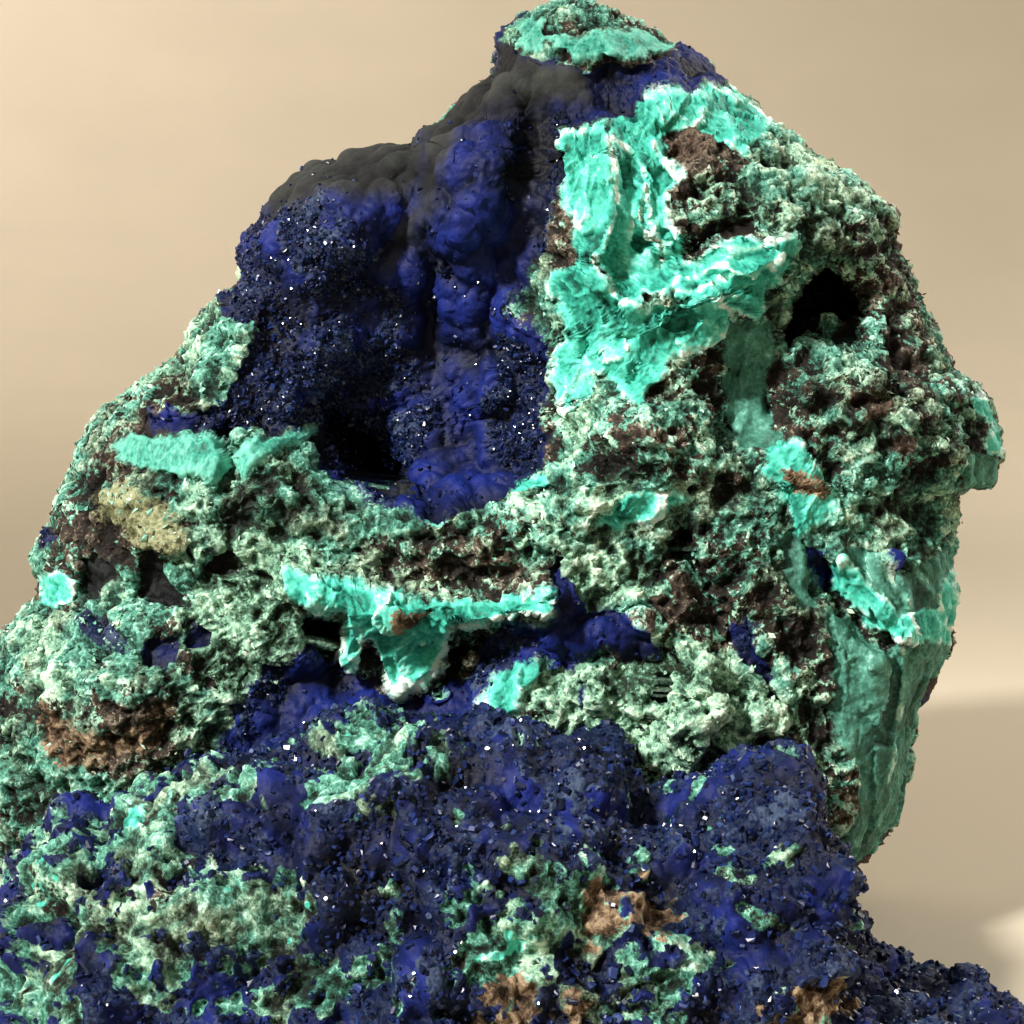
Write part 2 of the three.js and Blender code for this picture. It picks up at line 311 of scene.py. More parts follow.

# %% [markdown]
# ## Where the minerals lie
# Azurite lines the pocket and seeps out under the lip. Malachite makes two columns beside the pocket, rinds
# round it and a slab at the right. A darker malachite on the slab, the walls and the facets at the right is
# partly painted shade. Pale green crusts, rust and olive-brown iron stain lie on the crumbly rock between,
# and near-black patches are painted shade in the caves and the pocket's deep corner. The corners are points
# of the sheet.

# %% Mineral patches
PATCHES = {
    "azurite": [
        [  # pocket
            (-1.5, 46.7), (-3.4, 45.2), (-7.2, 41.2), (-13.2, 38.2), (-19.2, 36.2), (-25.2, 32.2),
            (-28.7, 27.2), (-29.7, 22.7), (-26.9, 22), (-25, 21), (-25.7, 18.2), (-27.2, 14.2),
            (-29.7, 11.7), (-32.2, 9.7), (-30.7, 8.2), (-27.2, 7.6), (-20, 8.2), (-20, 4.6),
            (-17.2, 1.2), (-12.2, -0.2), (-8, -0.8), (-4.2, 0), (0.8, 2.5), (3.3, 4.2), (3.9, 7.2),
            (3.5, 11.2), (4, 16), (3.1, 18.2), (1, 21.2), (2, 24.4), (4.4, 27.2), (4.8, 31.2),
            (4.4, 36.2), (5, 38.4), (9.6, 38.7), (12.8, 40.4), (14, 41.7), (17.8, 41.6), (20.1, 42.2),
            (22.3, 43.2), (17.8, 47.2), (16, 45.8), (11.6, 45), (3.3, 44.8), (1.8, 46.2)
        ],
        [  # low left
            (-25, -15.6), (-21.2, -12.8), (-17.2, -15), (-12.7, -17.8), (-8.2, -18.2), (-4.2, -18.8),
            (-1.2, -20.8), (-1.2, -24.8), (-27.2, -25.8), (-29.7, -22.8), (-27.2, -18.8)
        ],
        [  # ridge
            (-0.7, -10.5), (4, -10.9), (4.8, -14.8), (0.3, -15.6), (-1.2, -17), (-2.4, -20),
            (-6.2, -20.8), (-7.2, -18.8), (-4.2, -16), (-2.4, -13.3)
        ],
        [  # tee
            (3.7, -4.1), (5.3, -4.4), (6, -8.6), (10.8, -10), (14, -11.4), (14.3, -14), (11.8, -14.6),
            (9.4, -14), (7.8, -15), (5.7, -16.5), (3.8, -16.1), (2.9, -14.6), (4.1, -10.8), (4.1, -7.8)
        ],
        [(-29.7, 21.3), (-26, 22.6), (-24.6, 20.4), (-26.6, 18.6), (-29, 19.2)],  # left tip
        [(-48.7, -0.3), (-45.7, -1.1), (-45.1, -2.3), (-46.2, -3.6), (-49.2, -4.4)],  # left spot
        [  # left cave
            (-37.6, -13.8), (-36.2, -12.8), (-33, -12.3), (-33.2, -14), (-34.7, -16.1), (-37.2, -15.6)
        ],
        [(-32.6, -12.8), (-31.2, -11.2), (-30.1, -12.2), (-30.6, -13.6), (-32.2, -13.8)],  # small cave
        [(-28.7, -18.8), (-26.9, -18.5), (-25.4, -19.6), (-26, -21.6), (-28.4, -21.8)],  # low patch
        [(-36, 9.8), (-33.7, 10.3), (-28, 8.8), (-28.2, 7.3), (-33.2, 7.9), (-36, 8.2)],  # left line
        [  # right cave
            (29, -2.8), (31.6, -3.8), (32.6, -6.4), (31.6, -8.1), (30.3, -7.1), (29.3, -5.5)
        ],
        [(36.6, -4.1), (39.4, -4.6), (37.6, -6.6)],  # triangle
        [  # specks
            (21.6, -10.6), (23.3, -10), (24.8, -12.8), (26.3, -16.8), (27.3, -19.3), (25.8, -18.8),
            (24, -15.6), (22.3, -12.8)
        ],
        [(6.4, -17.8), (7.4, -17.4), (7.8, -20.3), (6.6, -21)],  # gap
    ],
    "velvet": [
        [  # strip
            (-3.2, 47.7), (3.3, 44.6), (7.8, 43.8), (8, 40.4), (3.6, 40.8), (0, 40.4), (-2.7, 40),
            (-4.9, 37.4), (-6.6, 34.4), (-7.5, 30.7), (-10, 27.2), (-12, 25), (-13.2, 24.2),
            (-11.2, 27.7), (-8.8, 30.7), (-9.2, 34.7), (-8.7, 39.2), (-6.2, 42.2)
        ],
        [  # mound
            (-8.7, 36.2), (-9.1, 33.2), (-10.4, 31.2), (-14, 31.5), (-17.2, 31.4), (-19.4, 31.6),
            (-21.2, 30), (-23.7, 29.7), (-26.2, 32.2), (-19.2, 38.2), (-12.2, 38.7)
        ],
    ],
    "malachite": [
        [  # left column
            (4.5, 37.4), (9.1, 38.7), (10.1, 36.2), (10.6, 32.7), (10.2, 29.4), (9, 26), (8, 25),
            (10, 22), (12.8, 20.4), (17.8, 21.2), (22.3, 21.2), (21.6, 18.2), (17.8, 15.7), (15.3, 15),
            (14.3, 12.7), (12.8, 11), (11, 11.4), (10, 14), (8.8, 14), (7.8, 11.2), (5.4, 10),
            (4.1, 11.2), (4.4, 15.2), (5.4, 19.2), (4.8, 21.7), (3.4, 22.2), (4.4, 24), (6.6, 25),
            (6.8, 27.4), (5.4, 30.7), (4.8, 33.2)
        ],
        [  # right column
            (9.4, 39.4), (14.8, 41.9), (16.8, 41.7), (21, 42.4), (23.4, 43.2), (26.2, 38.4), (22.8, 36.2),
            (17.8, 38.4), (14.8, 37.7), (15.6, 35.4), (16.4, 33.4), (15.5, 31.7), (15.6, 29.7),
            (16.8, 27.2), (17.2, 25), (16.4, 22.2), (13.8, 21.5), (12.8, 22.4), (14.3, 24.4),
            (15.6, 25.7), (13.6, 28.4), (13.6, 31.7), (12.8, 34.2), (11, 36.2)
        ],
        [  # groove
            (9.7, 38.2), (11, 36.8), (12.2, 35.6), (13.6, 32.2), (13.7, 28.2), (14.6, 26.4),
            (13.9, 22.7), (12, 20.7), (9.9, 22.2), (8.6, 25), (9.8, 27.7), (10.3, 30.7), (9.9, 34.2)
        ],
        [  # flames
            (16.8, 25), (18.8, 25), (20.3, 26.7), (23.3, 27.6), (25, 26.9), (28.4, 27.6), (27.8, 25),
            (25, 21.2), (24.5, 19), (22.3, 20), (18.8, 21.2), (16.4, 21.6)
        ],
        [  # ledge right
            (25.3, 6.3), (28.8, 7), (30.3, 5.2), (31.9, 2.6), (31.9, -0.7), (28.6, -2.7), (27.6, 0.2),
            (26.8, 2.2), (25, 4.4)
        ],
        [  # left edge
            (-47.2, -6.3), (-45, -5.9), (-43.4, -7), (-43.8, -8.8), (-45.4, -9.8), (-47, -9)
        ],
        [  # lens
            (-2.5, -19.7), (-0.9, -16.1), (0.8, -14.4), (2.8, -14.4), (2.9, -16.1), (1.4, -17.7),
            (-0.2, -20.2)
        ],
        [  # drapery
            (31.4, -6), (33.4, -4.6), (35.8, -7.6), (39.2, -10.4), (42.6, -9.4), (44, -4.6), (45, -9.6),
            (43.4, -13), (38.8, -13), (35, -10.8)
        ],
        [  # lip
            (-22.7, -5.8), (-17, -7.1), (-11.9, -8.3), (-8.3, -9.4), (-5.5, -8.9), (-1.7, -9.1),
            (0.9, -8.4), (4.1, -8), (4.2, -10.7), (2.1, -10.1), (0.3, -10.4), (-2.7, -10.9), (-6, -11.5),
            (-7.1, -14.6), (-8.3, -16.6), (-10.4, -17.9), (-11.9, -18.1), (-12.8, -17.4), (-13.4, -15.3),
            (-14, -13), (-15, -12.8), (-14.8, -14.8), (-16.2, -15.4), (-17.4, -14.9), (-17.2, -12.4),
            (-17, -10.4), (-21.1, -9.4), (-22.2, -8.6)
        ],
        [(-9.7, 0.9), (-8, 0), (-6.2, -0.4), (-7.2, -1.2), (-8.8, -0.8)],  # pocket lens
        [(-0.7, 1.8), (0.3, 3), (3.3, 3.8), (3.6, 2.8), (0.8, 1.8)],  # pocket tip
        [  # right end
            (45.2, 11.7), (47.3, 11.9), (49.3, 9.2), (49.3, 5.7), (47.3, 6.2), (47.8, 8.7), (46.3, 10.2)
        ],
        [(8.4, -1.3), (11.3, 1.7), (16, 2.4), (17.8, 1.2), (13.8, -0.8), (10.8, -1.6)],  # mid shelf
    ],
    "silky": [
        [  # cap
            (3.3, 47.6), (6.3, 47.4), (8.8, 48.2), (12.8, 47.9), (16.2, 46.4), (15.6, 46), (11.6, 45.9),
            (7.3, 45.5), (4.6, 46)
        ],
        [(0.4, 48.4), (1.6, 49.8), (3.2, 49.2), (3, 46.2), (1.4, 46.6)],  # cap wedge
        [  # left band
            (-40, 6.7), (-38.2, 7.9), (-33.2, 7.6), (-28.4, 7), (-29, 6), (-27.8, 4.8), (-28.8, 3.2),
            (-33.7, 3.8), (-37.2, 4.4), (-39.4, 5.2)
        ],
        [  # left band 2
            (-27.2, 6), (-25, 7.2), (-22.2, 7.9), (-19.6, 8.3), (-21.2, 7.2), (-24.7, 5.6), (-27, 3.6)
        ],
    ],
    "pale": [
        [(28.4, 36.2), (30, 36.2), (33.3, 34.2), (33, 33.4), (30.3, 34.2)],  # dome edge
    ],
    "brown": [
        [  # dome
            (13.8, 37.5), (17.8, 38.2), (19.8, 37.2), (18.8, 35.2), (17.3, 34), (15.3, 34.7)
        ],
        [(33.6, 12), (35.6, 12.4), (37.9, 11.2), (37.6, 9.3), (34.8, 9.4)],  # rust right
        [(37.6, 8), (39.3, 8.2), (40.9, 6.7), (39.3, 5.7), (37.8, 6.2)],  # rust right 2
        [(0.4, 20.7), (2.1, 20), (2.8, 18.2), (1.8, 16.7), (0.2, 17.7)],  # pocket side
        [(5.1, 30.7), (6.2, 30.7), (6.4, 28), (5.4, 27)],  # column side
    ],
    "olive": [
        [  # patch
            (-42, 1.7), (-38.2, 2.5), (-35.2, 1.2), (-32.8, -1.8), (-33.2, -4.3), (-36.2, -4),
            (-38.7, -1.8), (-41.2, -0.8)
        ],
    ],
    # A darker malachite: partly painted shade, where the walls, the slab and the facets at the right lie in
    # shadow.
    "dark_malachite_and_shade": [
        [  # walls
            (21, 19.4), (23.3, 19), (25.8, 19.4), (26.2, 16.2), (25.4, 13.2), (26, 8.2), (27.3, 7),
            (25.3, 6), (22.8, 6.2), (21.6, 9.2), (21, 13.2)
        ],
        [  # slab
            (31, -9.4), (33.9, -10.8), (36.9, -13.7), (38.9, -13.4), (43.2, -12.4), (45.3, -12.8),
            (43.3, -18.8), (42.3, -24.8), (40.8, -29.8), (37.8, -34.8), (33.8, -36.8), (33.8, -32.6),
            (34.6, -28), (33.3, -24), (31.9, -20), (32.9, -17.4), (31.3, -13.7)
        ],
        [  # right facets
            (32.6, -3.8), (35.8, -3.3), (37, -5.8), (39.3, -6.3), (43.8, -3.3), (44.8, -8.8),
            (43.2, -12.6), (38.8, -12.8), (35.8, -9.8), (33.8, -6.8)
        ],
        [  # stripe
            (26.6, -2.8), (28.3, -2), (29.4, -5.8), (30.3, -9.4), (28.8, -9.8), (27.3, -6.3)
        ],
        [(44.6, 5.7), (47.3, 6), (49.8, 5.4), (49.3, 2), (44.8, 2.2)],  # right under
        [(14.8, 19.7), (17.8, 20), (20.8, 19.4), (20, 16.7), (16.8, 16.2), (15, 17.4)],  # vugs
    ],
    "druse": [
        [  # slate
            (-43, -10), (-41.7, -9.2), (-40.2, -11.3), (-38.1, -12.8), (-38.4, -14.3), (-41.2, -13.8),
            (-42.8, -12.3)
        ],
    ],
    "tan": [
        [(-12.2, -10.4), (-10.8, -9.9), (-8.6, -10.2), (-9.2, -11.4), (-11.2, -12.1)],
        [  # rusty band
            (-46.8, -18.8), (-43.2, -21.8), (-38.7, -22.3), (-36.2, -20.3), (-34.2, -18.1), (-34, -20.3),
            (-36.2, -23.3), (-40.2, -24.8), (-44.2, -25.3), (-47.2, -22.8)
        ],
        [(26.8, 4.4), (28.8, 4.4), (31.5, 2.6), (31, 1.6), (28.8, 2.2), (27.1, 3.2)],
    ],
    # Near black: painted shade in the pocket's deep corner and in the caves, where shadow falls.
    "black_spots_and_shade": [
        [(-19.9, 9.5), (-15, 8.2), (-11, 5), (-8.6, 2), (-11, 0.6), (-16, 1.8), (-19.7, 5)],  # deep corner
        [  # a
            (-43, -4.8), (-41.7, -3.6), (-39.4, -4.4), (-39.2, -6.8), (-41.2, -8), (-42.8, -7)
        ],
        [  # b
            (-37.2, -6.3), (-36.2, -4.5), (-34.7, -5.8), (-32.5, -7.8), (-33, -9.8), (-36.2, -9.6),
            (-37.4, -8.6)
        ],
        [(-30.1, -4.8), (-28.7, -3.3), (-26.7, -4.6), (-27.4, -6), (-29.7, -5.8)],  # c
        [(-20.8, -10), (-17, -10.6), (-17.4, -14.6), (-19.4, -14.3), (-21.2, -12.8)],  # cave red
        [  # cave at the right
            (27.8, 21.2), (29.3, 23.7), (31.8, 24.4), (34.3, 23.2), (35.6, 20.2), (33, 18.4),
            (30.3, 19.2), (27.8, 16.7), (26.5, 18.2)
        ],
    ],
}
print("outlines of each mineral:", {mineral: len(outlines) for mineral, outlines in PATCHES.items()})

# %% [markdown]
# ## Ridges, cracks and holes
# Between the large swells and the fine grain lie the features that make this rock itself: the white crest
# between the two malachite columns, the flames that run off it, the cave at the right, and the drips of
# the lower lip. A sculptor would press each one in. Here each is a short path or an oval with a rise.

# %% Features of the front
PATHS = [  # rise, half width, and points across and up
    (1.5, 0.7, [(9.5, 37.6), (10, 34.6), (10.6, 31.8), (10.3, 29.2), (9.5, 27), (8.1, 25.6), (8.9, 23.1),
                (11.2, 20.8), (12.8, 21.4), (16.5, 22.2), (18.7, 22), (21.8, 23.6), (26, 24.5)]),
    (1.2, 0.6, [(9.5, 37.6), (11.7, 36.2), (13.1, 34.6), (13.4, 32), (12.8, 29.5), (13.4, 27.8),
                (15.1, 26.7), (16.4, 27)]),
    (0.9, 0.5, [(19.3, 21.4), (21.8, 20.3), (24.6, 18.9), (26, 20), (27.4, 22), (28.3, 24.5)]),
    (0.8, 0.5, [(14.2, 36.8), (14.8, 35.4), (16.5, 33.4), (15.6, 30.2), (16.6, 27.4)]),
    (0.8, 0.4, [(16.1, 25.9), (16.5, 23.4), (15.2, 21.9)]),
    (1.1, 0.5, [(17.6, 23.2), (20.6, 24.8), (24, 23.4), (27.2, 25.8)]),
    (1.1, 0.5, [(18.6, 20.4), (21.6, 21.8), (24.8, 20.6)]),
    (0.8, 0.5, [(17, 24.8), (20, 26.6), (24, 26.2), (27.6, 27.4)]),
    (-0.9, 0.9, [(11.4, 36.5), (11.9, 33), (11.9, 29.5), (11.4, 26), (11.2, 23)]),  # groove between
    (0.9, 0.5, [(-14.7, 1.7), (-11.2, 0.7), (-9.2, -0.3), (-4.2, 0.2), (-1.2, 1.4)]),  # pocket's rim
    (-1.0, 0.4, [(37.6, -13.4), (38.2, -17.7), (37.9, -21.4)]),  # cracks of the slab
    (-3.0, 1.1, [(31.6, -6.4), (34, -9), (36.6, -12.1)]),
    (1.0, 0.9, [(14.5, 40.4), (19, 41.2), (23.5, 42), (25.8, 38.5)]),  # rim over the dome
    (-1.8, 0.6, [(-28.9, 7.8), (-27.6, 5.2), (-28.6, 2.8)]),  # crack of the left band
    (0.9, 0.6, [(45.2, 11.8), (47.3, 11.6), (49, 9), (49, 6)]),
    (-2.0, 0.8, [(16.3, -2.5), (18.8, -7), (21, -11.5), (22.2, -17), (22.5, -22)]),  # right of the knob
    (1.6, 1.5, [(-0.5, 40.2), (-2.6, 33), (-4.5, 26), (-5, 19), (-2.5, 12)]),  # ribs in the pocket
    (1.2, 1.6, [(-14, 20), (-9, 17), (-7, 11), (-9, 5)]),
    (-1.6, 1.6, [(-9.5, 37), (-11.2, 29), (-13.4, 22.5), (-14.8, 16), (-13.5, 8), (-9, 3.5)]),
    (-1.2, 1.2, [(-6.8, 27), (-8.3, 20), (-4.6, 9), (-3.5, 3.5)]),
    (0.9, 0.5, [(-17.2, -12.6), (-16.4, -14.9), (-14.8, -14.4), (-14.2, -12.8), (-13.2, -15.6),
                (-12.2, -17.7), (-10.2, -17.6), (-8.2, -16.2), (-7, -14.2), (-6, -11.6), (0.3, -10.2),
                (4, -10.3)]),  # rim of the lip
    (2.4, 1.3, [(-22, -7.4), (-16, -9.4), (-9, -10.3), (-3, -10), (4, -9.4)]),  # lip, and its tongue
    (3.0, 2.2, [(-11.4, -12.3), (-11.1, -15.4)]),
    (1.2, 1.5, [(-1, -18), (2, -15.4)]),  # lens
    (1.6, 1.3, [(4.6, -4.8), (5.2, -11.5), (8.2, -12.4), (12.8, -12.8)]),  # tee of azurite
    (0.6, 0.8, [(36.4, -12.6), (37, -17), (36.6, -22)]),  # rib of the slab
    (0.8, 0.35, [(38.9, -12.6), (39.3, -16), (38.6, -21.5), (37.6, -27)]),
    (1.2, 0.8, [(32.4, -4.4), (34.4, -8.2), (38.8, -12.4), (43.4, -12.6)]),  # drapery over the slab
    (1.0, 0.7, [(36.8, -5.4), (39.6, -9.2), (40.4, -12)]),
    (0.9, 0.7, [(40.2, -5.2), (42.6, -8.4), (43.4, -11.6)]),
]
SPOTS = [  # across, up, half width, half height, rise
    (12.8, 26.9, 1.3, 1.3, -3.5), (7.2, 16.2, 0.9, 1.7, -1.4), (16.6, 18.9, 1.7, 0.9, -1.5),
    (11.6, 17.4, 1.3, 0.8, -1.2),
    (12, 13.6, 0.8, 1.3, -1.2), (20.4, 23.6, 1.6, 0.7, -1.2),
    (26, 11.1, 1.1, 2.6, -3.0), (21, 8.2, 1.8, 2.2, -3.0), (-49, -16.8, 3.2, 4.4, -3.0),
    (-18.9, -12.2, 2.4, 2.9, -5.5), (13.4, -21.7, 2.4, 2.4, -2.0), (-6, 27, 2.6, 4, 1.2),
    (24.5, 37, 3.4, 2.2, 1.5), (30, 33.5, 3, 2, 1.2), (34.5, 27.5, 2.4, 3.4, 1.2),
    (36.2, 12.8, 2, 1.6, 1.8), (32, 14.5, 2.2, 1.5, 1.5), (29.5, 11.8, 1.6, 1.4, 1.5),
    (33.8, 9.5, 1.8, 1.3, 1.2), (40.4, 9.2, 2, 1.6, 1.4), (43.2, 6.4, 2, 1.5, 1.4),
    (36.4, 17.8, 1.8, 1.8, 1.5), (13.2, -10.8, 2.6, 1.4, 0.8), (-36, 2.8, 3, 1.6, 1.0),
    (3.4, -19.2, 2.2, 1.6, 1.4), (8.6, -17.8, 2.6, 2, 1.6), (12.6, -17.4, 2, 2.2, 1.5),
    (18.6, -16.2, 2.6, 2.4, 1.8), (17.4, -21.6, 2.2, 2.4, 1.6), (21.4, -19.6, 1.6, 2.6, 1.2),
]
# The pocket's deep corner: it is a hole in the shape, and painted shade later darkens its colours as well.
DEEP_CORNER = [  # the pocket's darkest place, behind its rim
    (-18.8, 10.6), (-15.6, 9.4), (-13.0, 6.0), (-10.6, 2.4), (-12.2, 1.4), (-15, 2.4), (-17.8, 4.2),
    (-19.6, 6.4),
]
HOLES = [  # fall, width of its wall, and outline
    (-13.0, 1.2, [(27.8, 21.2), (29.3, 23.7), (31.8, 24.4), (34.3, 23.2), (35.6, 20.2), (35, 18.2),
                 (32.8, 18.7), (30.3, 19.2), (27.8, 16.7), (26.5, 18.2)]),  # cave at the right
    (-7.0, 1.2, [(-6, -11.4), (-1.2, -11), (-2, -12.8), (-4.2, -14.3), (-5.7, -16.8), (-7.2, -18.1),
                 (-7.7, -17.6), (-6.6, -14.6)]),  # cave under the lip
    (-1.2, 2.5, [(-16.5, 2), (-11, 0.6), (-7.6, 0.4), (-9, 3.6), (-13, 8), (-19.6, 12.4), (-20.4, 8.4)]),
    (-7.0, 1.3, DEEP_CORNER),
]
STEPS = [  # mineral, rise over the rock round it, half width of the step
    ("malachite", 0.8, 0.5), ("silky", 1.3, 0.4), ("pale", 1.0, 0.8), ("azurite", -1.2, 0.8),
    ("black_spots_and_shade", -1.6, 0.8), ("dark_malachite_and_shade", -0.4, 0.6), ("olive", 0.5, 0.8), ("velvet", 0.4, 1.5),
]

# Green or brown crust on the crumbly rock: across, up, half width, half height, how green (brown below 0)
# and how pale.
CRUSTS = [
    (-27, 2, 13, 7, 1.4, 0.0), (-16, -1, 9, 5, 0.7, -0.4), (-12, -4.5, 12, 3, -1.0, -0.3),
    (-25.5, -12, 4.5, 11, 2.6, 1.9), (-18, -6.5, 7, 3, 1.6, 0.9), (-47, -24, 7, 9, 0.8, -0.1),
    (-36, -15, 7, 5, 0.7, 0.0), (-43, -21, 6, 3, -0.6, 0.0), (-31, -20, 4, 4, 1.0, 0.9),
    (7, 11, 5, 6, 1.6, 1.0), (2.5, 20, 4, 5, 1.2, 0.5), (13, 7.5, 6, 7, -0.9, -0.3), (13, 1, 8, 3, 1.5, 0.6),
    (9, -4, 8, 5, 0.9, 0.2), (9.5, -6.8, 4.5, 3.4, 1.4, 0.8), (3, 3, 6, 3, 0.8, 0.3),
    (27, 11, 5, 9, -0.5, 0.0), (40, 8, 8, 8, 0.5, -0.1),
    (30, 11, 4, 4, 0.8, 0.2),
    (29, 33, 13, 9, 0.7, 0.5), (20, 36, 4, 3, -1.1, 0.0), (36, 26, 5, 8, -0.5, 0.1),
    (20, -9, 6, 9, 0.0, 0.0), (17, -20, 9, 7, 1.8, 2.2), (8, -18.6, 9, 4, 1.6, 1.5), (38, -1, 8, 4, 1.4, 0.5),
    (-28.5, 15.5, 4, 6, 1.2, 0.2), (-29, -10.5, 3, 5, 1.4, 1.6), (-46, -14.5, 3, 4, 1.4, 0.9),
    (34, 15, 4, 3, 0.8, 0.6), (24, 28, 5, 5, -0.4, 0.0), (-43, 6, 5, 6, 0.2, 0.0), (-38, -3, 6, 4, -0.9, 0.0),
]

DRUSES = [  # where the pocket's azurite is dark crystals (or velvet, below 0)
    (-21, 25, 8, 8, 1.8), (-19, 11, 13, 10, 2.8), (1.5, 8, 5, 10, 3.0), (-4.5, 6.5, 4.5, 4.5, -3.5),
    (-6, 20, 6, 8, -3.0), (-2, 32, 6, 10, -4.0), (-27, 15, 6, 8, 1.0), (12, 43, 8, 4, -6.0),
]


print("paths, spots and holes:", len(PATHS), len(SPOTS), len(HOLES))


# %% [markdown]
# ## From lists to a rise
# Each kind of feature has a formula of its own for how far it lifts or lowers the front, and all of them
# are added up. The straight sides of the outlines would give them away as drawn, so the sheet is first
# pushed about by noise, and every outline on it then wanders as a vein does.

# %% Rise of the front's features
def relief(across, up):
    """How far the large knobs and hollows bring the front forward: each rises smoothly inside a turned
    oval, by 3t^2 - 2t^3 of one minus its distance from the middle in half widths."""
    forward = np.zeros(np.broadcast_shapes(across.shape, up.shape), np.float32)
    for a, b, half_width, half_height, turn, rise in RELIEF:
        angle = math.radians(turn)
        x = ((across - a) * math.cos(angle) + (up - b) * math.sin(angle)) / half_width
        y = ((up - b) * math.cos(angle) - (across - a) * math.sin(angle)) / half_height
        forward = forward + rise * soft(1 - np.hypot(x, y))
    return forward


def patch_distances(across, up):
    """Each mineral's signed distance: the greatest of its patches' distances."""
    found = {}
    for mineral, outlines in PATCHES.items():
        found[mineral] = np.max([inside(across, up, outline) for outline in outlines], axis=0)
    return found


def frayed(across, up):
    """Across and up pushed about by noise, so that straight sides of outlines wander as veins do."""
    flat = np.stack([across, up, np.zeros_like(across)]).astype(np.float32)
    push_a = 0.75 * noise(flat, 3.1, 11) + 0.35 * noise(flat, 1.0, 12)
    push_b = 0.75 * noise(flat, 3.1, 13) + 0.35 * noise(flat, 1.0, 14)
    return across + push_a, up + push_b


def feature_rise(across, up, patches):
    """The rise of paths, spots, holes and patches: each one soft across its own width."""
    rise = np.zeros(across.shape, np.float32)
    for height, half_width, path in PATHS:
        rise += height * soft(1.25 - beside(across, up, path) / (2 * half_width))
    for a, b, half_width, half_height, height in SPOTS:
        rise += height * soft(1.2 - np.hypot((across - a) / half_width, (up - b) / half_height))
    for fall, wall, outline in HOLES:
        rise += fall * soft(0.4 + inside(across, up, outline) / wall)
    for mineral, height, half_width in STEPS:
        rise += height * soft(0.5 + patches[mineral] / (2 * half_width))
    return rise


def crest_lines(across, up):
    """1 along the raised thin paths, where malachite's broken rims are nearly white, and 0 beside them."""
    rims = [path for height, half_width, path in PATHS if height > 0.7 and half_width < 0.8]
    return np.maximum.reduce([soft(1.3 - beside(across, up, path) / 0.34) for path in rims])


# %% [markdown]
# ## The tall mass's surface
# The bare form carries the features. Two things need care. The sawn base is flat but the sheet leans, so
# the place where each column starts depends on its own depth. And where the front turns steep, equal steps
# up the sheet would leave long thin faces, so rows and columns are spread again by the surface's length.

# %% The surface of the tall mass
def tall_surface(side, up, front):
    """Across, depth and how far from the edges a point is, from 0 to 1. Across runs from the left edge to
    the right edge by the share side. Depth swells forward or back by the section times the crown."""
    left = np.interp(up, *np.transpose(TALL_LEFT))
    right = np.interp(up, *np.transpose(TALL_RIGHT))
    across = (left + right) / 2 + side * (right - left) / 2
    crown = bulge(np.maximum(0, (up - SHOULDER) / (PEAK - SHOULDER)), CROWN)
    thickness = crown * bulge(side, SQUARENESS)
    swell = 1.6 * np.sin(across / 9 + up / 14) + 1.2 * np.sin(up / 7 - across / 17 + 1)
    forward = thickness * (FRONT + relief(across, up))
    return across, np.where(front, RIDGE - forward, RIDGE + thickness * (BACK + swell)), thickness


def lay_out(side, climb):
    """The tall mass at shares of the way across (once round) and up: across, up, depth, patches, points.
    The base cuts each column where its depth says, and that depth depends on the cut, so it is settled
    in a few rounds. Features fade out towards the edges and the base."""
    up = np.full(np.broadcast_shapes(side.shape, climb.shape), base_up(RIDGE))
    for settle in range(6):
        _, depth, _ = tall_surface(side, up, in_front)
        up = base_up(depth[:1]) + climb * (PEAK - base_up(depth[:1]))
    across, depth, thickness = tall_surface(side, up, in_front)
    a, b = frayed(across, up)
    patches = patch_distances(a, b)
    rise = feature_rise((a + across) / 2, (b + up) / 2, patches)
    held = soft(thickness / 0.75) * soft((up - base_up(depth)) / 5)
    depth = np.where(in_front, depth - held * rise, depth)
    points = place(across, up, depth)
    points[2, 0] = 0
    return across, up, depth, patches, points


def averaged(values, axis, reach, wrap):
    """Each value's mean with its neighbours up to reach steps away, twice over."""
    for again in range(2):
        padding = [(reach, reach) if n == axis else (0, 0) for n in range(values.ndim)]
        wide = np.pad(values, padding, mode="wrap" if wrap else "edge")
        slices = [np.take(wide, range(n, n + values.shape[axis]), axis) for n in range(2 * reach + 1)]
        values = sum(slices) / len(slices)
    return values


def evened(points, places, axis, wrap):
    """New places for rows (axis 1) or columns (axis 2), nearer together where the surface is steep: equal
    steps of the surface's own length, plus a share of the mean length so that no stretch goes bare."""
    length = np.linalg.norm(np.diff(points, axis=axis), axis=0)
    length = length + EVEN_SHARE * length.mean(axis=axis - 1, keepdims=True)
    length = averaged(length, 2 - axis, 9, wrap)
    way = np.cumsum(np.insert(length, 0, 0, axis=axis - 1), axis=axis - 1)
    way = np.moveaxis(way / np.take(way, [-1], axis - 1), axis - 1, 0)
    even = np.linspace(0, 1, len(way))
    found = [np.interp(even, way[:, n], places) for n in range(way.shape[1])]
    return np.moveaxis(np.array(found), 0, 2 - axis)


EVEN_SHARE = 0.35
_, _, _, _, tall_points = lay_out(sides, rows)
row_places = evened(tall_points, rows[:, 0], 1, True)
front_places = evened(tall_points[:, :, :FRONT_COLUMNS], front_sides, 2, False)
side_places = np.hstack([front_places, np.repeat(back_sides[None, :], ROWS, axis=0)])
across, up, depth, tall_patches, tall_points = lay_out(side_places, row_places)
print("tall mass:", tall_points[0].size, "points")

# %% [markdown]
# ## Normals
# The fine relief pushes each point out along the surface's normal. The same normals, worked out again at
# the end for the whole mass, are given to the pieces it is cut into, so no seam shows where they meet.

# %% Normals of a grid
def outward(points, round_trip):
    """Unit normals: the step along the columns crossed with the step up the rows. round_trip says that
    the last column is next to the first."""
    if round_trip:
        along = np.roll(points, -1, axis=2) - np.roll(points, 1, axis=2)
    else:
        along = np.gradient(points, axis=2)
    normal = np.cross(along, np.gradient(points, axis=1), axis=0)
    length = np.linalg.norm(normal, axis=0)
    thin = length < 1e-7
    normal = normal / np.where(thin, 1, length)
    normal[:, thin] = [[0], [0], [1]]
    return normal.astype(np.float32)


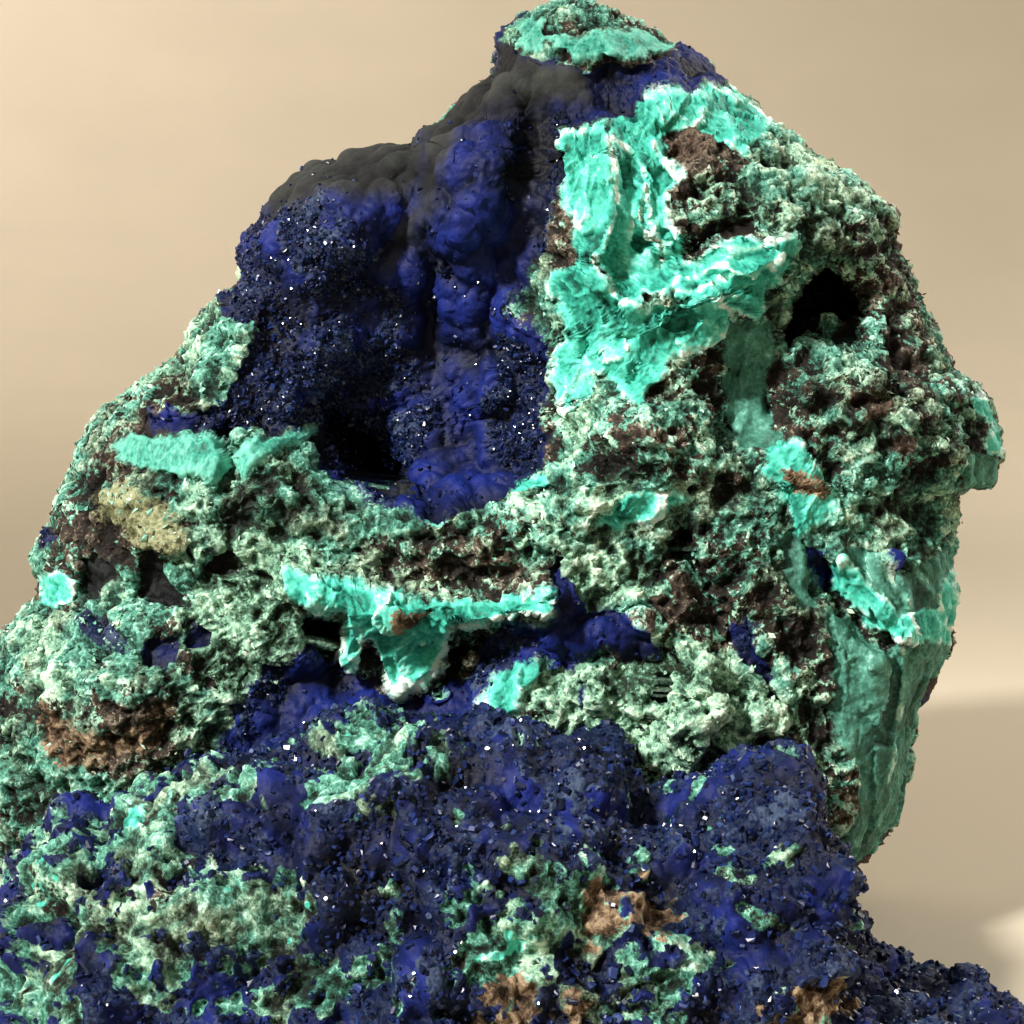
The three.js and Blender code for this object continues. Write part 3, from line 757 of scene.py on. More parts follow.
tall_normals = outward(tall_points, True)
print("how squarely the front faces forward:", round(-float(tall_normals[1][:, in_front[0]].mean()), 2))

# %% [markdown]
# ## Fine relief
# Each mineral breaks or grows in its own way, and that is most of what tells them apart. Crumbly rock is
# lumps, crests and pits. Azurite grows as round nodules with a skin of crystals. Malachite breaks in small
# tilted faces, and silky malachite in upright fibres. All reliefs are worked out everywhere and mixed by
# the patches, so one mineral runs into the next.

# %% Relief of each mineral
BOULDER, GRAIN, FOLD, WALL = 4.8, 2.1, 1.25, 1.6  # mm, the crumbly rock's features
NODULE, SMALL_NODULE, TIP = 5.2, 2.2, 0.62  # mm, azurite
LARGE_FACE, SMALL_FACE = 2.6, 0.9  # mm, broken malachite


def stretched(points, x, y, z):
    """Points squeezed along each axis, so that a pattern on them comes out stretched."""
    return points / np.array([x, y, z], np.float32).reshape(3, 1, 1)


def crumbly(points):
    """Boulders and lumps, then thin curled folds and upstanding walls, and pits, as rock that has partly
    dissolved is left. Gives the height, and how far a point is up its lump, folds and walls."""
    boulders = np.maximum(lumps(stretched(points, 1, 1, 0.8), BOULDER, 20), -0.9)
    grain = lumps(points, GRAIN, 21)
    bent = points + 0.6 * np.stack([noise(points, 1.5, seed) for seed in (27, 28, 29)])
    nearest, following, _, own = cells(stretched(bent, 1, 1, 0.8), WALL, 23)
    walls = 1 - soft((following - nearest) / 0.34)
    folds = np.maximum(crests(bent, FOLD, 24), -0.6)
    pits = soft((noise(points, 3.6, 25) - 0.12) / 0.3) + 0.5 * soft((noise(points, 1.5, 26) - 0.15) / 0.3)
    high = 0.35 * walls + 0.4 * folds + 0.2 * grain + 0.2 * boulders + 0.3 * (own[0] - 0.5)
    height = 0.75 * boulders + 0.35 * grain + 0.35 * walls + 0.3 * folds + 0.35 * (own[0] - 0.5)
    return height - 1.1 * pits, high + 0.1 - 0.5 * pits


def nodular(points):
    """Round nodules of two sizes: smooth, with a fine skin, and with a coarse skin of crystal tips."""
    big = np.maximum(lumps(points, NODULE, 31), -0.6)
    small = np.maximum(lumps(points, SMALL_NODULE, 32), -0.8)
    smooth = 1.1 * big + 0.4 * small + 0.9 * noise(points, 8, 34)
    skin = 0.13 * facets(points, TIP, 33)[0] + 0.14 * lumps(points, 1.0, 35)
    return smooth, smooth + skin, smooth + 2.2 * skin


def broken(points):
    """Tilted faces of two sizes with raised edges, on soft folds. Also gives the edges and a tint for
    each face."""
    bent = points + 0.9 * np.stack([noise(points, 3.5, seed) for seed in (46, 47, 48)])
    large, edge, tint = facets(stretched(bent, 1, 1, 1.8), LARGE_FACE, 41)
    small, small_edge, shade = facets(stretched(bent, 1, 1, 1.6), SMALL_FACE, 43)
    folds = 0.55 * noise(stretched(points, 1, 1, 1.8), 2.8, 44)
    height = folds + 0.5 * large + 0.26 * small + 0.12 * edge + 0.08 * noise(points, 0.6, 45)
    return height, np.maximum(0.7 * edge, 0.5 * small_edge), 0.6 * tint + 0.4 * shade


def fibrous(points):
    """Soft swells under fine upright ribs."""
    ribs = noise(stretched(points, 1, 1, 9), 0.6, 51)
    return 0.3 * noise(points, 2.6, 52) + 0.22 * ribs + 0.2 * facets(stretched(points, 1, 1, 3), 1.7, 53)[0]


def popcorn(points, rough):
    """Small round lumps among the crumbly rock's folds."""
    rounds = 0.35 * lumps(points, 1.3, 61) + 0.2 * lumps(points, 0.7, 62)
    return rounds + 0.45 * rough + 0.4 * noise(points, 3, 63)


def slabby(points):
    """Tall smooth faces, slightly tilted, under a slight unevenness."""
    return 0.55 * facets(stretched(points, 1, 1, 2.6), 3.2, 71)[0] + 0.2 * noise(points, 1.4, 72)


def share_of(distance, width=0.7):
    """How much of a point a patch covers: soft across its border."""
    return soft(0.5 + distance / width)


def fine_relief(points, patches):
    """The relief in mm of the minerals mixed in order, and what the finishes read: how high a point stands
    in its own mineral's relief, the edges of broken faces and their tints."""
    rough, walls = crumbly(points)
    height, high = 0.8 * rough, 0.22 + 0.62 * walls
    faces, edge, tint = broken(points)
    smooth, skinned, coarse = nodular(points)
    for mineral, own, scale in [
        ("olive", 0.35 * facets(points, 1.7, 81)[0] + 0.6 * rough, 0.45),
        ("brown", 0.8 * rough, 0.3), ("black_spots_and_shade", 0.35 * rough, 0.4),
        ("dark_malachite_and_shade", slabby(points) + 0.45 * faces, 0.5), ("malachite", faces, 0.6),
        ("pale", popcorn(points, rough), 0.55), ("silky", fibrous(points), 1.2),
        ("azurite", skinned, 0.34), ("druse", coarse, 0.3), ("velvet", smooth, 0.25),
    ]:
        share = share_of(patches[mineral], 3.0 if mineral == "velvet" else 0.7)
        height = height + share * (own - height)
        high = high + share * (0.5 + scale * own - high)
    return height, {"high": np.clip(high, 0, 1), "edge": edge, "tint": tint}


print("crumbly relief along a line, mm:", np.round(crumbly(probe[:, None])[0][0], 1))

# %% [markdown]
# ## Crust
# Green malachite dust and pale carbonate coat the brown rock in blotches. They lie on top of its lumps, so
# they need no shape of their own, only two marks that the finish reads. Noise alone would spread them
# evenly, so ovals say where the rock is greener, paler or bare.

# %% Crust
def crust_marks(points, across, up, reach):
    """How green and how pale the crust is: random in each cell of two sizes, plus slow noise, plus the
    listed ovals, which fade out as reach falls from 1 to 0."""
    bent = points + 1.6 * np.stack([noise(points, 3.2, seed) for seed in (121, 122, 123)])
    _, _, _, large = cells(bent, 5.5, 124)
    _, _, _, small = cells(bent, 2.2, 125)
    green = 0.9 * (large[0] - 0.4) + 1.1 * (small[0] - 0.5) + 1.0 * noise(points, 14, 126)
    pale = 0.9 * (large[1] - 0.62) + 0.9 * (small[1] - 0.6) + 0.5 * noise(points, 1.3, 127)
    for a, b, half_width, half_height, more_green, more_pale in CRUSTS:
        near = reach * soft(1.3 - np.hypot((across - a) / half_width, (up - b) / half_height))
        green, pale = green + near * more_green, pale + near * more_pale
    return {"crust": green + 0.8 * noise(points, 0.9, 128), "paleness": pale}


# %% [markdown]
# ## The sides and the back
# Nothing grows the same all round, so behind the edges the patches hand over to patches made by noise:
# mostly brown rock, with crusts of malachite and spots of azurite.

# %% Patches behind the edges
WILD_FROM = 17  # mm: the depth where they take over
RIM_LIGHTNESS = 4.7


def wild_patches(points):
    """Signed distances made by slow noise: where a noise is over its own level, a mineral shows."""
    green, blue = noise(points, 21, 91), noise(points, 17, 152)
    grain, rusty = noise(points, 5, 93), noise(points, 12, 94)
    return {
        "malachite": 5 * (green + 0.6 * grain - 0.5), "azurite": 6 * (blue + 0.5 * grain - 0.5),
        "silky": 6 * (green + 0.5 * rusty - 0.62), "pale": 6 * (grain + green - 0.6),
        "brown": 5 * (rusty + 0.6 * grain - 0.15), "olive": 6 * (0.6 * grain - rusty - 0.3),
        "dark_malachite_and_shade": 6 * (green - rusty - 0.5), "black_spots_and_shade": 6 * (noise(points, 7, 95) - 0.5),
        "velvet": 5 * (blue + 0.6 * rusty - 0.8), "druse": 5 * (blue - 0.6 * rusty - 0.5),
        "tan": np.full_like(blue, -REACH),
    }


wild = wild_patches(tall_points)
behind = np.where(in_front, soft((depth - WILD_FROM + 7 * noise(tall_points, 6, 131)) / 7), 1)
print("share of the tall mass behind its edges:", round(float(behind.mean()), 2))

# %% The tall mass's minerals and relief
druse = 3.5 * noise(tall_points, 7, 97) + 2.5 * noise(tall_points, 2.6, 98) - 1
for a, b, half_width, half_height, rise in DRUSES:
    druse += rise * soft(1.3 - np.hypot((across - a) / half_width, (up - b) / half_height))
tall_patches["druse"] = np.maximum(tall_patches["druse"], np.minimum(druse, tall_patches["azurite"]))
for mineral, distance in tall_patches.items():
    grown = np.clip(wild[mineral], -REACH, REACH)
    tall_patches[mineral] = (distance + behind * (grown - distance)).astype(np.float32)
fine, tall_marks = fine_relief(tall_points, tall_patches)
tall_marks.update(crust_marks(tall_points, across, up, 1 - behind))
# Painted shade: the marks are lowered in the pocket's deep corner, so its colours come out darker there.
tall_marks["high"] = tall_marks["high"] * (1 - 0.8 * soft(0.8 + inside(across, up, DEEP_CORNER) / 1.5))
rims = crest_lines(across, up) * (1 - behind)
rims = RIM_LIGHTNESS * rims * (0.6 + 0.8 * noise(tall_points, 2.0, 129))
tall_marks["edge"] = np.maximum(tall_marks["edge"], rims)
fade = soft((tall_points[2] + 0.5) / 3)
tall_points = tall_points + tall_normals * (fine * fade)
tall_points[2] = np.maximum(tall_points[2], 0.05 * np.minimum(np.arange(ROWS), 8)[:, None])
tall_points[:, -1] = tall_points[:, -2].mean(axis=1, keepdims=True)
tall_points[2, 0] = 0
tall_normals = outward(tall_points, True)
print("fine relief of the tall mass, mm:", round(float(fine.min()), 1), "to", round(float(fine.max()), 1))

# %% [markdown]
# ## The front shelf
# The loaf in front is a row of upright rounded sections under its own top line. Only the part of each
# section that lies above the sawn base is kept, so every loop runs from the base behind, over the crest,
# and down to the base in front. The base closes it below, and a fan closes each end.

# %% The front shelf's surface
SHELF_TOP = [  # across, up
    (-51.4, -64), (-51.2, -45), (-49.2, -36.8), (-44, -30.4), (-38, -28.2), (-32, -26.8), (-26, -24.4),
    (-18, -21), (-8, -22.2), (1, -22), (9, -24), (15, -28), (21, -26.8), (27, -24.8),
    (30, -27.2), (31.6, -31), (32.2, -38), (34, -42.6), (37.8, -46), (43, -47.7), (48.5, -49.9),
    (53, -53), (55, -64),
]
SHELF_FOOT, SHELF_RIDGE, SHELF_FRONT, SHELF_BACK = -64, -10, 22, 26
SHELF_SQUARENESS, SHELF_ENDS = 2.5, 5
SHELF_SECTIONS, SHELF_LOOP = 460, 200


def shelf_loop(section_across, crest, turn):
    """Points of upright sections: a rounded square about the foot, as high as the crest. Turn runs from 0
    behind, over the crest at a quarter, to a half in front. The ends get thinner as rounded squares too."""
    middle = (SHELF_TOP[0][0] + SHELF_TOP[-1][0]) / 2
    narrowing = bulge((section_across - middle) / (SHELF_TOP[-1][0] - middle), SHELF_ENDS)
    x, y = np.cos(turn * 2 * math.pi), np.abs(np.sin(turn * 2 * math.pi))
    out = (np.abs(x) ** SHELF_SQUARENESS + y ** SHELF_SQUARENESS) ** (-1 / SHELF_SQUARENESS)
    reach = np.where(x > 0, SHELF_BACK, SHELF_FRONT + 1.5 * np.cos(section_across / 8 + 0.6))
    depth = SHELF_RIDGE + x * out * narrowing * reach
    height = SHELF_FOOT + (crest - SHELF_FOOT) * y * out
    return np.broadcast_arrays(section_across, height, depth)


top = np.array(SHELF_TOP)
walked = np.concatenate([[0], np.cumsum(np.hypot(*np.diff(top, axis=0).T))])
steps = np.linspace(0, walked[-1], SHELF_SECTIONS + 60)
section_across = np.interp(steps, walked, top[:, 0])[:, None]
crest = np.interp(steps, walked, top[:, 1])[:, None]
turns = np.linspace(0, 0.5, 721)[None, :]
trial = place(*shelf_loop(section_across, crest, turns))
kept = trial[2].max(axis=1) > 0.4
section_across, crest, trial = section_across[kept], crest[kept], trial[:, kept]
loops = []
for section in np.moveaxis(trial, 1, 0):
    above = np.flatnonzero(section[2] > 0)
    first, last = above[0], above[-1]
    enter = first - section[2, first] / (section[2, first] - section[2, first - 1])
    leave = last + section[2, last] / (section[2, last] - section[2, last + 1])
    walk = np.concatenate([[enter], np.arange(first, last + 1), [leave]])
    spots = np.stack([np.interp(walk, np.arange(turns.size), axis) for axis in section])
    length = np.concatenate([[0], np.cumsum(np.linalg.norm(np.diff(spots, axis=1), axis=0))])
    loops.append(np.interp(np.linspace(0, length[-1], SHELF_LOOP), length, walk) / (turns.size - 1) / 2)
turns = np.array(loops)
shelf_sheet = shelf_loop(section_across, crest, turns)
shelf_points = place(*shelf_sheet)
shelf_points[2] = np.maximum(shelf_points[2], 0)
print("front shelf:", shelf_points[0].shape, "grid")

# %% [markdown]
# ## What covers the front shelf
# Nearly all of it is dark azurite with a skin of crystals. Green crust sits on its knobs in loose blotches,
# and a few are rusty. The blotches are ovals broken up by noise, because drawn outlines would look cut out
# on such a knobbly surface.

# %% The front shelf's minerals and relief
SHELF_GREEN = [  # across, up, half width, half height
    (-38, -31, 5, 5), (-36, -41, 5, 7), (-45, -37, 3, 6), (-14, -25, 6, 4), (-26, -42, 6, 5),
    (-1, -44, 5, 7), (-30, -28, 4, 3), (8, -38, 3, 3), (-47, -48, 4, 5), (-12, -45, 3, 4),
    (-22, -47, 5, 4), (14, -47, 6, 4), (2, -36, 3, 2), (24, -38, 2.5, 2),
]
SHELF_BROWN = [(11.8, -40.3, 3, 2.2), (0, -50, 4, 3), (30, -50, 4, 3)]


def ovals(across, up, spots, height):
    """Signed distance, roughly, to the nearest of some ovals."""
    rings = [(1 - np.hypot((across - a) / w, (up - b) / h)) * min(w, h) for a, b, w, h in spots]
    return np.maximum.reduce(rings) + height


shelf_across, shelf_up = frayed(*(axis.astype(np.float32) for axis in shelf_sheet[:2]))
shelf_across = shelf_across + 2.2 * noise(shelf_points, 6, 101)
shelf_up = shelf_up + 2.2 * noise(shelf_points, 6, 102)
patchy = noise(shelf_points, 4.2, 103) + 0.8 * noise(shelf_points, 1.8, 104)
speckle = 1.5 * noise(shelf_points, 1.0, 106) + 1.2 * noise(shelf_points, 2.4, 107)
green = 0.45 * ovals(shelf_across, shelf_up, SHELF_GREEN, 0.2) + 1.5 * patchy
green = np.maximum(green, 4 * (noise(shelf_points, 13, 105) + 0.6 * patchy - 0.7)) + speckle
brown = 0.6 * ovals(shelf_across, shelf_up, SHELF_BROWN, 0) + 1.2 * patchy + speckle
nothing = np.full(green.shape, -REACH, np.float32)
shelf_patches = {mineral: nothing for mineral in PATCHES}
for mineral, distance in [("azurite", 0.1 - np.maximum(green, brown)), ("malachite", green - 2.4),
                          ("druse", 2.2 * noise(shelf_points, 6, 108) + speckle + 0.5), ("tan", brown)]:
    shelf_patches[mineral] = np.clip(distance, -REACH, REACH).astype(np.float32)
shelf_patches["druse"] = np.minimum(shelf_patches["druse"], shelf_patches["azurite"])

shelf_normals = outward(shelf_points, False)
shelf_fine, shelf_marks = fine_relief(shelf_points, shelf_patches)
shelf_marks.update(crust_marks(shelf_points, shelf_across, shelf_up, 0))
shelf_marks["crust"] += 0.9
knobs = 1.9 * np.maximum(lumps(shelf_points, 8.5, 111), -0.7) + 0.9 * lumps(shelf_points, 3.6, 112)
from_base = soft((shelf_points[2] + 0.3) / 3)
from_ends = soft(np.minimum(np.arange(len(turns)), np.arange(len(turns))[::-1])[:, None] / 12)
shelf_points = shelf_points + shelf_normals * ((shelf_fine + knobs - 0.6) * from_base * from_ends)
shelf_points[2] = np.maximum(shelf_points[2], 0)
shelf_points[2][:, [0, -1]] = 0
shelf_normals = outward(shelf_points, False)
print("front shelf, mm high:", round(float(shelf_points[2].max()), 1))

# %% [markdown]
# ## From grids to pieces
# A grid of points becomes a mesh of triangles with two for each four neighbours. Blender could be given
# four-sided faces, but on such a rough surface they bend, and it would choose their diagonals itself. The
# marks go along as attributes of the points, for the finish to read.

# %% Meshes from grids
def grid_triangles(index, points):
    """Two triangles for each four neighbours in a grid of point numbers, cut along the shorter diagonal.
    Triangles that use a point twice are left out, as at a pole."""
    a, b, c, d = index[:-1, :-1], index[:-1, 1:], index[1:, 1:], index[1:, :-1]
    ac = ((points[a] - points[c]) ** 2).sum(-1)
    bd = ((points[b] - points[d]) ** 2).sum(-1)
    short = (ac < bd)[..., None]
    one = np.where(short, np.stack([a, b, c], -1), np.stack([a, b, d], -1)).reshape(-1, 3)
    two = np.where(short, np.stack([a, c, d], -1), np.stack([b, c, d], -1)).reshape(-1, 3)
    both = np.concatenate([one, two])
    distinct = (both[:, 0] != both[:, 1]) & (both[:, 1] != both[:, 2]) & (both[:, 0] != both[:, 2])
    return both[distinct]


def add_piece(name, material, points, triangles, normals=None, marks=None):
    """A mesh object from rows of points in mm and rows of three point numbers, with its normals and marks
    as attributes. It rides on the rock's one body and stands for the plain lump."""
    mesh = bpy.data.meshes.new(name)
    mesh.vertices.add(len(points))
    mesh.vertices.foreach_set("co", (points * MM).astype(np.float32).ravel())
    mesh.loops.add(triangles.size)
    mesh.loops.foreach_set("vertex_index", triangles.astype(np.int32).ravel())
    mesh.polygons.add(len(triangles))
    mesh.polygons.foreach_set("loop_start", np.arange(0, triangles.size, 3, dtype=np.int32))
    mesh.update(calc_edges=True)
    mesh.validate()
    for mark, values in (marks or {}).items():
        layer = mesh.attributes.new(mark, "FLOAT", "POINT")
        layer.data.foreach_set("value", values.astype(np.float32).ravel())
    if normals is None:
        mesh.shade_flat()
    else:
        mesh.shade_smooth()
        mesh.normals_split_custom_set_from_vertices(normals)
    mesh.materials.append(material)
    piece = bpy.data.objects.new(name, mesh)
    bpy.context.scene.collection.objects.link(piece)
    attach(piece, "root")
    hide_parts(LUMP)
    print(name, len(mesh.polygons), "triangles")
    return piece


def rows_of(grid):
    """An array with x, y and z along its first axis as rows of points."""
    return np.moveaxis(grid, 0, -1).reshape(-1, grid.shape[0])

# %% [markdown]
# ## The rock's finish
# One material covers the whole rock, because the minerals run into each other. Each mineral has a ramp of
# three colours, from its hollows to its crests. The marks left by the relief choose the place on the
# ramp, and fine noise frays the borders, so colour and shape agree. A painted map could not do that, and
# would blur at this size.

# %% Node helpers
def new_material(name):
    """A material whose node tree is still empty."""
    material = bpy.data.materials.new(name)
    material.use_nodes = True
    material.node_tree.nodes.clear()
    return material


def node(material, kind, inputs=None, **settings):
    """A node with its settings, its inputs joined to a socket where one is given, and set otherwise."""
    made = material.node_tree.nodes.new(kind)
    for setting, value in settings.items():
        setattr(made, setting, value)
    for key, value in (inputs or {}).items():
        if isinstance(value, bpy.types.NodeSocket):
            material.node_tree.links.new(value, made.inputs[key])
        else:
            made.inputs[key].default_value = value
    return made


def sum_of(material, value, factor, more):
    """value times factor, plus more."""
    return node(material, "ShaderNodeMath", {0: value, 1: factor, 2: more},
                operation="MULTIPLY_ADD").outputs[0]


def mixed(material, share, low, high):
    """Two colours mixed by a share."""
    return node(material, "ShaderNodeMix", {0: share, 6: low, 7: high}, data_type="RGBA").outputs[2]


def blended(material, share, low, high):
    """Two numbers mixed by a share."""
    return node(material, "ShaderNodeMix", {0: share, 2: low, 3: high}, data_type="FLOAT").outputs[0]


def between(material, value, low, high):
    """0 at low and 1 at high, soft at both ends."""
    return node(material, "ShaderNodeMapRange", {0: value, 1: low, 2: high, 3: 0.0, 4: 1.0},
                interpolation_type="SMOOTHSTEP").outputs[0]


def mark(material, name):
    """A mark that the mesh's points carry, as a number."""
    return node(material, "ShaderNodeAttribute", attribute_name=name).outputs["Fac"]


def ramp(material, value, stops):
    """A colour ramp of (place, colour) stops."""
    made = node(material, "ShaderNodeValToRGB", {0: value})
    while len(made.color_ramp.elements) < len(stops):
        made.color_ramp.elements.new(0.5)
    for element, (spot, colour) in zip(made.color_ramp.elements, stops):
        element.position = spot
        element.color = (*colour, 1)
    return made.outputs[0]


def grain_of(material, size, detail=3.0, roughness=0.6, squeeze=(1, 1, 1)):
    """Noise with features of a size in mm, on object coordinates squeezed along each axis."""
    spot = node(material, "ShaderNodeTexCoord").outputs["Object"]
    spot = node(material, "ShaderNodeVectorMath", {0: spot, 1: squeeze}, operation="MULTIPLY").outputs[0]
    return node(material, "ShaderNodeTexNoise", {"Vector": spot, "Scale": 1 / (size * MM), "Detail": detail,
                "Roughness": roughness}).outputs["Fac"]


def cells_of(material, size):
    """The distance to the nearest dot of cells of a size in mm, on object coordinates."""
    spot = node(material, "ShaderNodeTexCoord").outputs["Object"]
    return node(material, "ShaderNodeTexVoronoi", {"Vector": spot, "Scale": 1 / (size * MM)}).outputs[0]


# %% [markdown]
# ## The minerals' colours
# The blue and the green are copper's own, and hardly vary. What varies is the light that gets into the
# grain, so each ramp runs from the near black of a hollow to the dusty pale of a crest: partly the rock's own
# tone, and partly painted shade in the hollows and painted light on the crests. Minerals that come
# later in the list lie over the earlier ones, with borders that fray as much as each one does.

# %% The rock's colours
BROWN_ROCK = [(0.0, (0.005, 0.004, 0.0035)), (0.35, (0.018, 0.014, 0.011)), (0.65, (0.052, 0.040, 0.030)),
              (1.0, (0.24, 0.20, 0.15))]
GREEN_CRUST = [(0.0, (0.006, 0.012, 0.009)), (0.3, (0.020, 0.060, 0.042)), (0.55, (0.060, 0.22, 0.16)),
               (0.8, (0.17, 0.46, 0.35)), (1.0, (0.46, 0.78, 0.64))]
PALE_CRUST = [(0.0, (0.012, 0.020, 0.012)), (0.28, (0.060, 0.14, 0.090)), (0.5, (0.20, 0.40, 0.28)),
              (0.75, (0.46, 0.70, 0.51)), (1.0, (0.74, 0.90, 0.73))]
GREY_CRUST = [(0.0, (0.006, 0.007, 0.005)), (0.3, (0.030, 0.038, 0.026)), (0.55, (0.105, 0.14, 0.092)),
              (0.8, (0.25, 0.32, 0.215)), (1.0, (0.52, 0.62, 0.46))]
FINISHES = [  # mark, ramp from hollows to crests, roughness, depth of its fine bumps, how frayed
    ("olive", [(0.1, (0.018, 0.02, 0.010)), (0.45, (0.10, 0.105, 0.05)), (0.9, (0.33, 0.35, 0.20))],
     0.8, 0.9, 2.4),
    ("brown", [(0.1, (0.010, 0.008, 0.006)), (0.5, (0.042, 0.030, 0.023)), (0.95, (0.20, 0.14, 0.10))],
     0.85, 1.0, 1.6),
    # A darker malachite: partly painted shade, where the walls, the slab and the facets at the right lie in
    # shadow.
    ("dark_malachite_and_shade", [(0.1, (0.018, 0.056, 0.040)), (0.5, (0.058, 0.21, 0.155)), (0.85, (0.16, 0.46, 0.36)),
              (1.0, (0.55, 0.80, 0.68))],
     0.6, 0.35, 0.8),
    ("malachite", [(0.05, (0.008, 0.09, 0.062)), (0.38, (0.034, 0.37, 0.275)), (0.68, (0.105, 0.64, 0.50)),
                   (0.94, (0.40, 0.86, 0.72)), (1.0, (0.74, 0.93, 0.85))], 0.55, 0.4, 0.5),
    ("pale", [(0.1, (0.025, 0.04, 0.022)), (0.4, (0.15, 0.26, 0.16)), (0.85, (0.56, 0.72, 0.50))],
     0.8, 0.9, 1.2),
    ("silky", [(0.05, (0.012, 0.10, 0.07)), (0.4, (0.038, 0.29, 0.215)), (0.95, (0.18, 0.58, 0.455))],
     0.5, 0.3, 0.5),
    ("tan", [(0.1, (0.02, 0.012, 0.007)), (0.45, (0.12, 0.078, 0.047)), (0.95, (0.42, 0.31, 0.20))],
     0.8, 1.0, 1.8),
    ("azurite", [(0.1, (0.0016, 0.0022, 0.006)), (0.42, (0.003, 0.006, 0.028)),
                 (0.72, (0.0038, 0.0095, 0.080)), (1.0, (0.006, 0.016, 0.15))], 0.6, 0.4, 0.8),
    ("druse", [(0.15, (0.0016, 0.0024, 0.005)), (0.5, (0.004, 0.008, 0.028)),
               (0.8, (0.009, 0.019, 0.065)), (1.0, (0.045, 0.07, 0.13))], 0.45, 0.9, 1.6),
    ("velvet", [(0.1, (0.005, 0.005, 0.006)), (0.5, (0.015, 0.016, 0.017)), (0.95, (0.048, 0.052, 0.048))],
     0.9, 0.4, 1.0),
    # Near black: painted shade in the caves and the pocket's deep corner, and black spots on the back.
    ("black_spots_and_shade", [(0.1, (0.003, 0.003, 0.004)), (0.5, (0.006, 0.007, 0.008)), (0.95, (0.020, 0.024, 0.024))],
     0.7, 0.8, 1.2),
]


def crumbly_colour(material, high):
    """Brown rock, green crust and pale crust: the marks say which, with more crust on the heights, and the
    height says how light. Thin curled lines, where a noise passes its middle, are lighter still."""
    middle = sum_of(material, grain_of(material, 0.9, 2.0, 0.5), 1.0, -0.5)
    curl = node(material, "ShaderNodeMath", {0: middle}, operation="ABSOLUTE").outputs[0]
    lace = between(material, curl, 0.045, 0.0)
    laced = sum_of(material, lace, 0.24, sum_of(material, high, 1.2, -0.15))
    speckle = sum_of(material, grain_of(material, 0.7, 3.0), 3.0, -1.9)
    which = sum_of(material, laced, 0.9, sum_of(material, mark(material, "crust"), 1.0, speckle))
    green = between(material, which, -0.16, 0.24)
    pale = between(material, mark(material, "paleness"), -0.05, 0.6)
    greyer = between(material, grain_of(material, 7.0, 3.0), 0.47, 0.62)
    greyer = node(material, "ShaderNodeMath", {0: greyer, 1: 0.8}, operation="MULTIPLY").outputs[0]
    colour = mixed(material, greyer, ramp(material, laced, GREEN_CRUST), ramp(material, laced, GREY_CRUST))
    colour = mixed(material, pale, colour, ramp(material, laced, PALE_CRUST))
    return mixed(material, green, ramp(material, laced, BROWN_ROCK), colour), laced


def rock_material():
    """Every mineral's colour laid over the last by its mark, with one fine bump."""
    rock = new_material("azurite_and_malachite")
    fine, coarse, broad = grain_of(rock, 0.35, 4.0), grain_of(rock, 1.6, 4.0), grain_of(rock, 9.0, 2.0)
    specks = cells_of(rock, 0.55)
    fray = sum_of(rock, fine, 1.1, sum_of(rock, coarse, 1.4, -1.25))
    high = sum_of(rock, fine, 0.7, sum_of(rock, specks, -0.3, sum_of(rock, mark(rock, "high"), 1.0, -0.2)))
    high = sum_of(rock, broad, 0.3, sum_of(rock, high, 1.0, -0.15))
    colour, laced = crumbly_colour(rock, high)
    smooth = sum_of(rock, coarse, 0.5, sum_of(rock, fine, 0.3, sum_of(rock, mark(rock, "high"), 1.0, -0.4)))
    fibres = grain_of(rock, 0.3, 2.0, 0.5, (1, 1, 0.1))
    roughness, depth = 0.8, 1.0
    for name, stops, rough, deep, frays in FINISHES:
        edge = 1.2 if name == "velvet" else 0.18
        distance = mark(rock, name)
        share = between(rock, sum_of(rock, fray, frays, distance), -edge, edge)
        level = {"azurite": smooth, "velvet": smooth, "druse": high, "black_spots_and_shade": high}.get(name, laced)
        if name == "silky":
            level = sum_of(rock, fibres, 1.1, sum_of(rock, high, 0.8, -0.42))
        if name == "dark_malachite_and_shade":
            level = sum_of(rock, fibres, 0.22, sum_of(rock, mark(rock, "tint"), 0.5,
                           sum_of(rock, laced, 0.6, sum_of(rock, mark(rock, "edge"), 0.16, -0.26))))
        if name == "malachite":
            level = sum_of(rock, mark(rock, "edge"), 0.17, sum_of(rock, mark(rock, "tint"), 0.46,
                           sum_of(rock, high, 0.9, -0.22)))
        if name in ("malachite", "silky"):
            past_rim = between(rock, sum_of(rock, fray, frays, distance), 0.25, 0.6)
            level = sum_of(rock, past_rim, -0.26, sum_of(rock, level, 1.0, 0.22))
        colour = mixed(rock, share, colour, ramp(rock, level, stops))
        roughness = blended(rock, share, roughness, rough)
        depth = blended(rock, share, depth, deep)
    relief_height = sum_of(rock, specks, -0.5, sum_of(rock, fine, 1.0, coarse))
    bump = node(rock, "ShaderNodeBump", {"Height": relief_height, "Strength": depth, "Distance": 0.22 * MM})
    shader = node(rock, "ShaderNodeBsdfPrincipled", {"Base Color": colour, "Roughness": roughness,
                  "Normal": bump.outputs[0], "Specular IOR Level": 0.2})
    node(rock, "ShaderNodeOutputMaterial", {"Surface": shader.outputs[0]})
    return rock


rock_finish = rock_material()
print("rock finish:", len(rock_finish.node_tree.nodes), "nodes")

# %% [markdown]
# ## Four wedges and the shelf
# The tall mass would be one mesh of half a million triangles. It is cut like a cake instead, into four
# upright wedges that meet along a line inside it. Each is closed by flat walls to that line, and
# neighbours share the very same points. A plain hide-and-join of open skins would leave open edges. The
# shelf is small enough to be one closed piece.

# %% Cut the tall mass into wedges
def axis_points():
    """The line inside the tall mass where the wedges meet: midway between its edges, at the ridge."""
    foot = base_up(RIDGE)
    height = foot + rows[:, 0] * (PEAK - foot)
    middle = (np.interp(height, *np.transpose(TALL_LEFT)) + np.interp(height, *np.transpose(TALL_RIGHT))) / 2
    return place(middle, height, RIDGE)


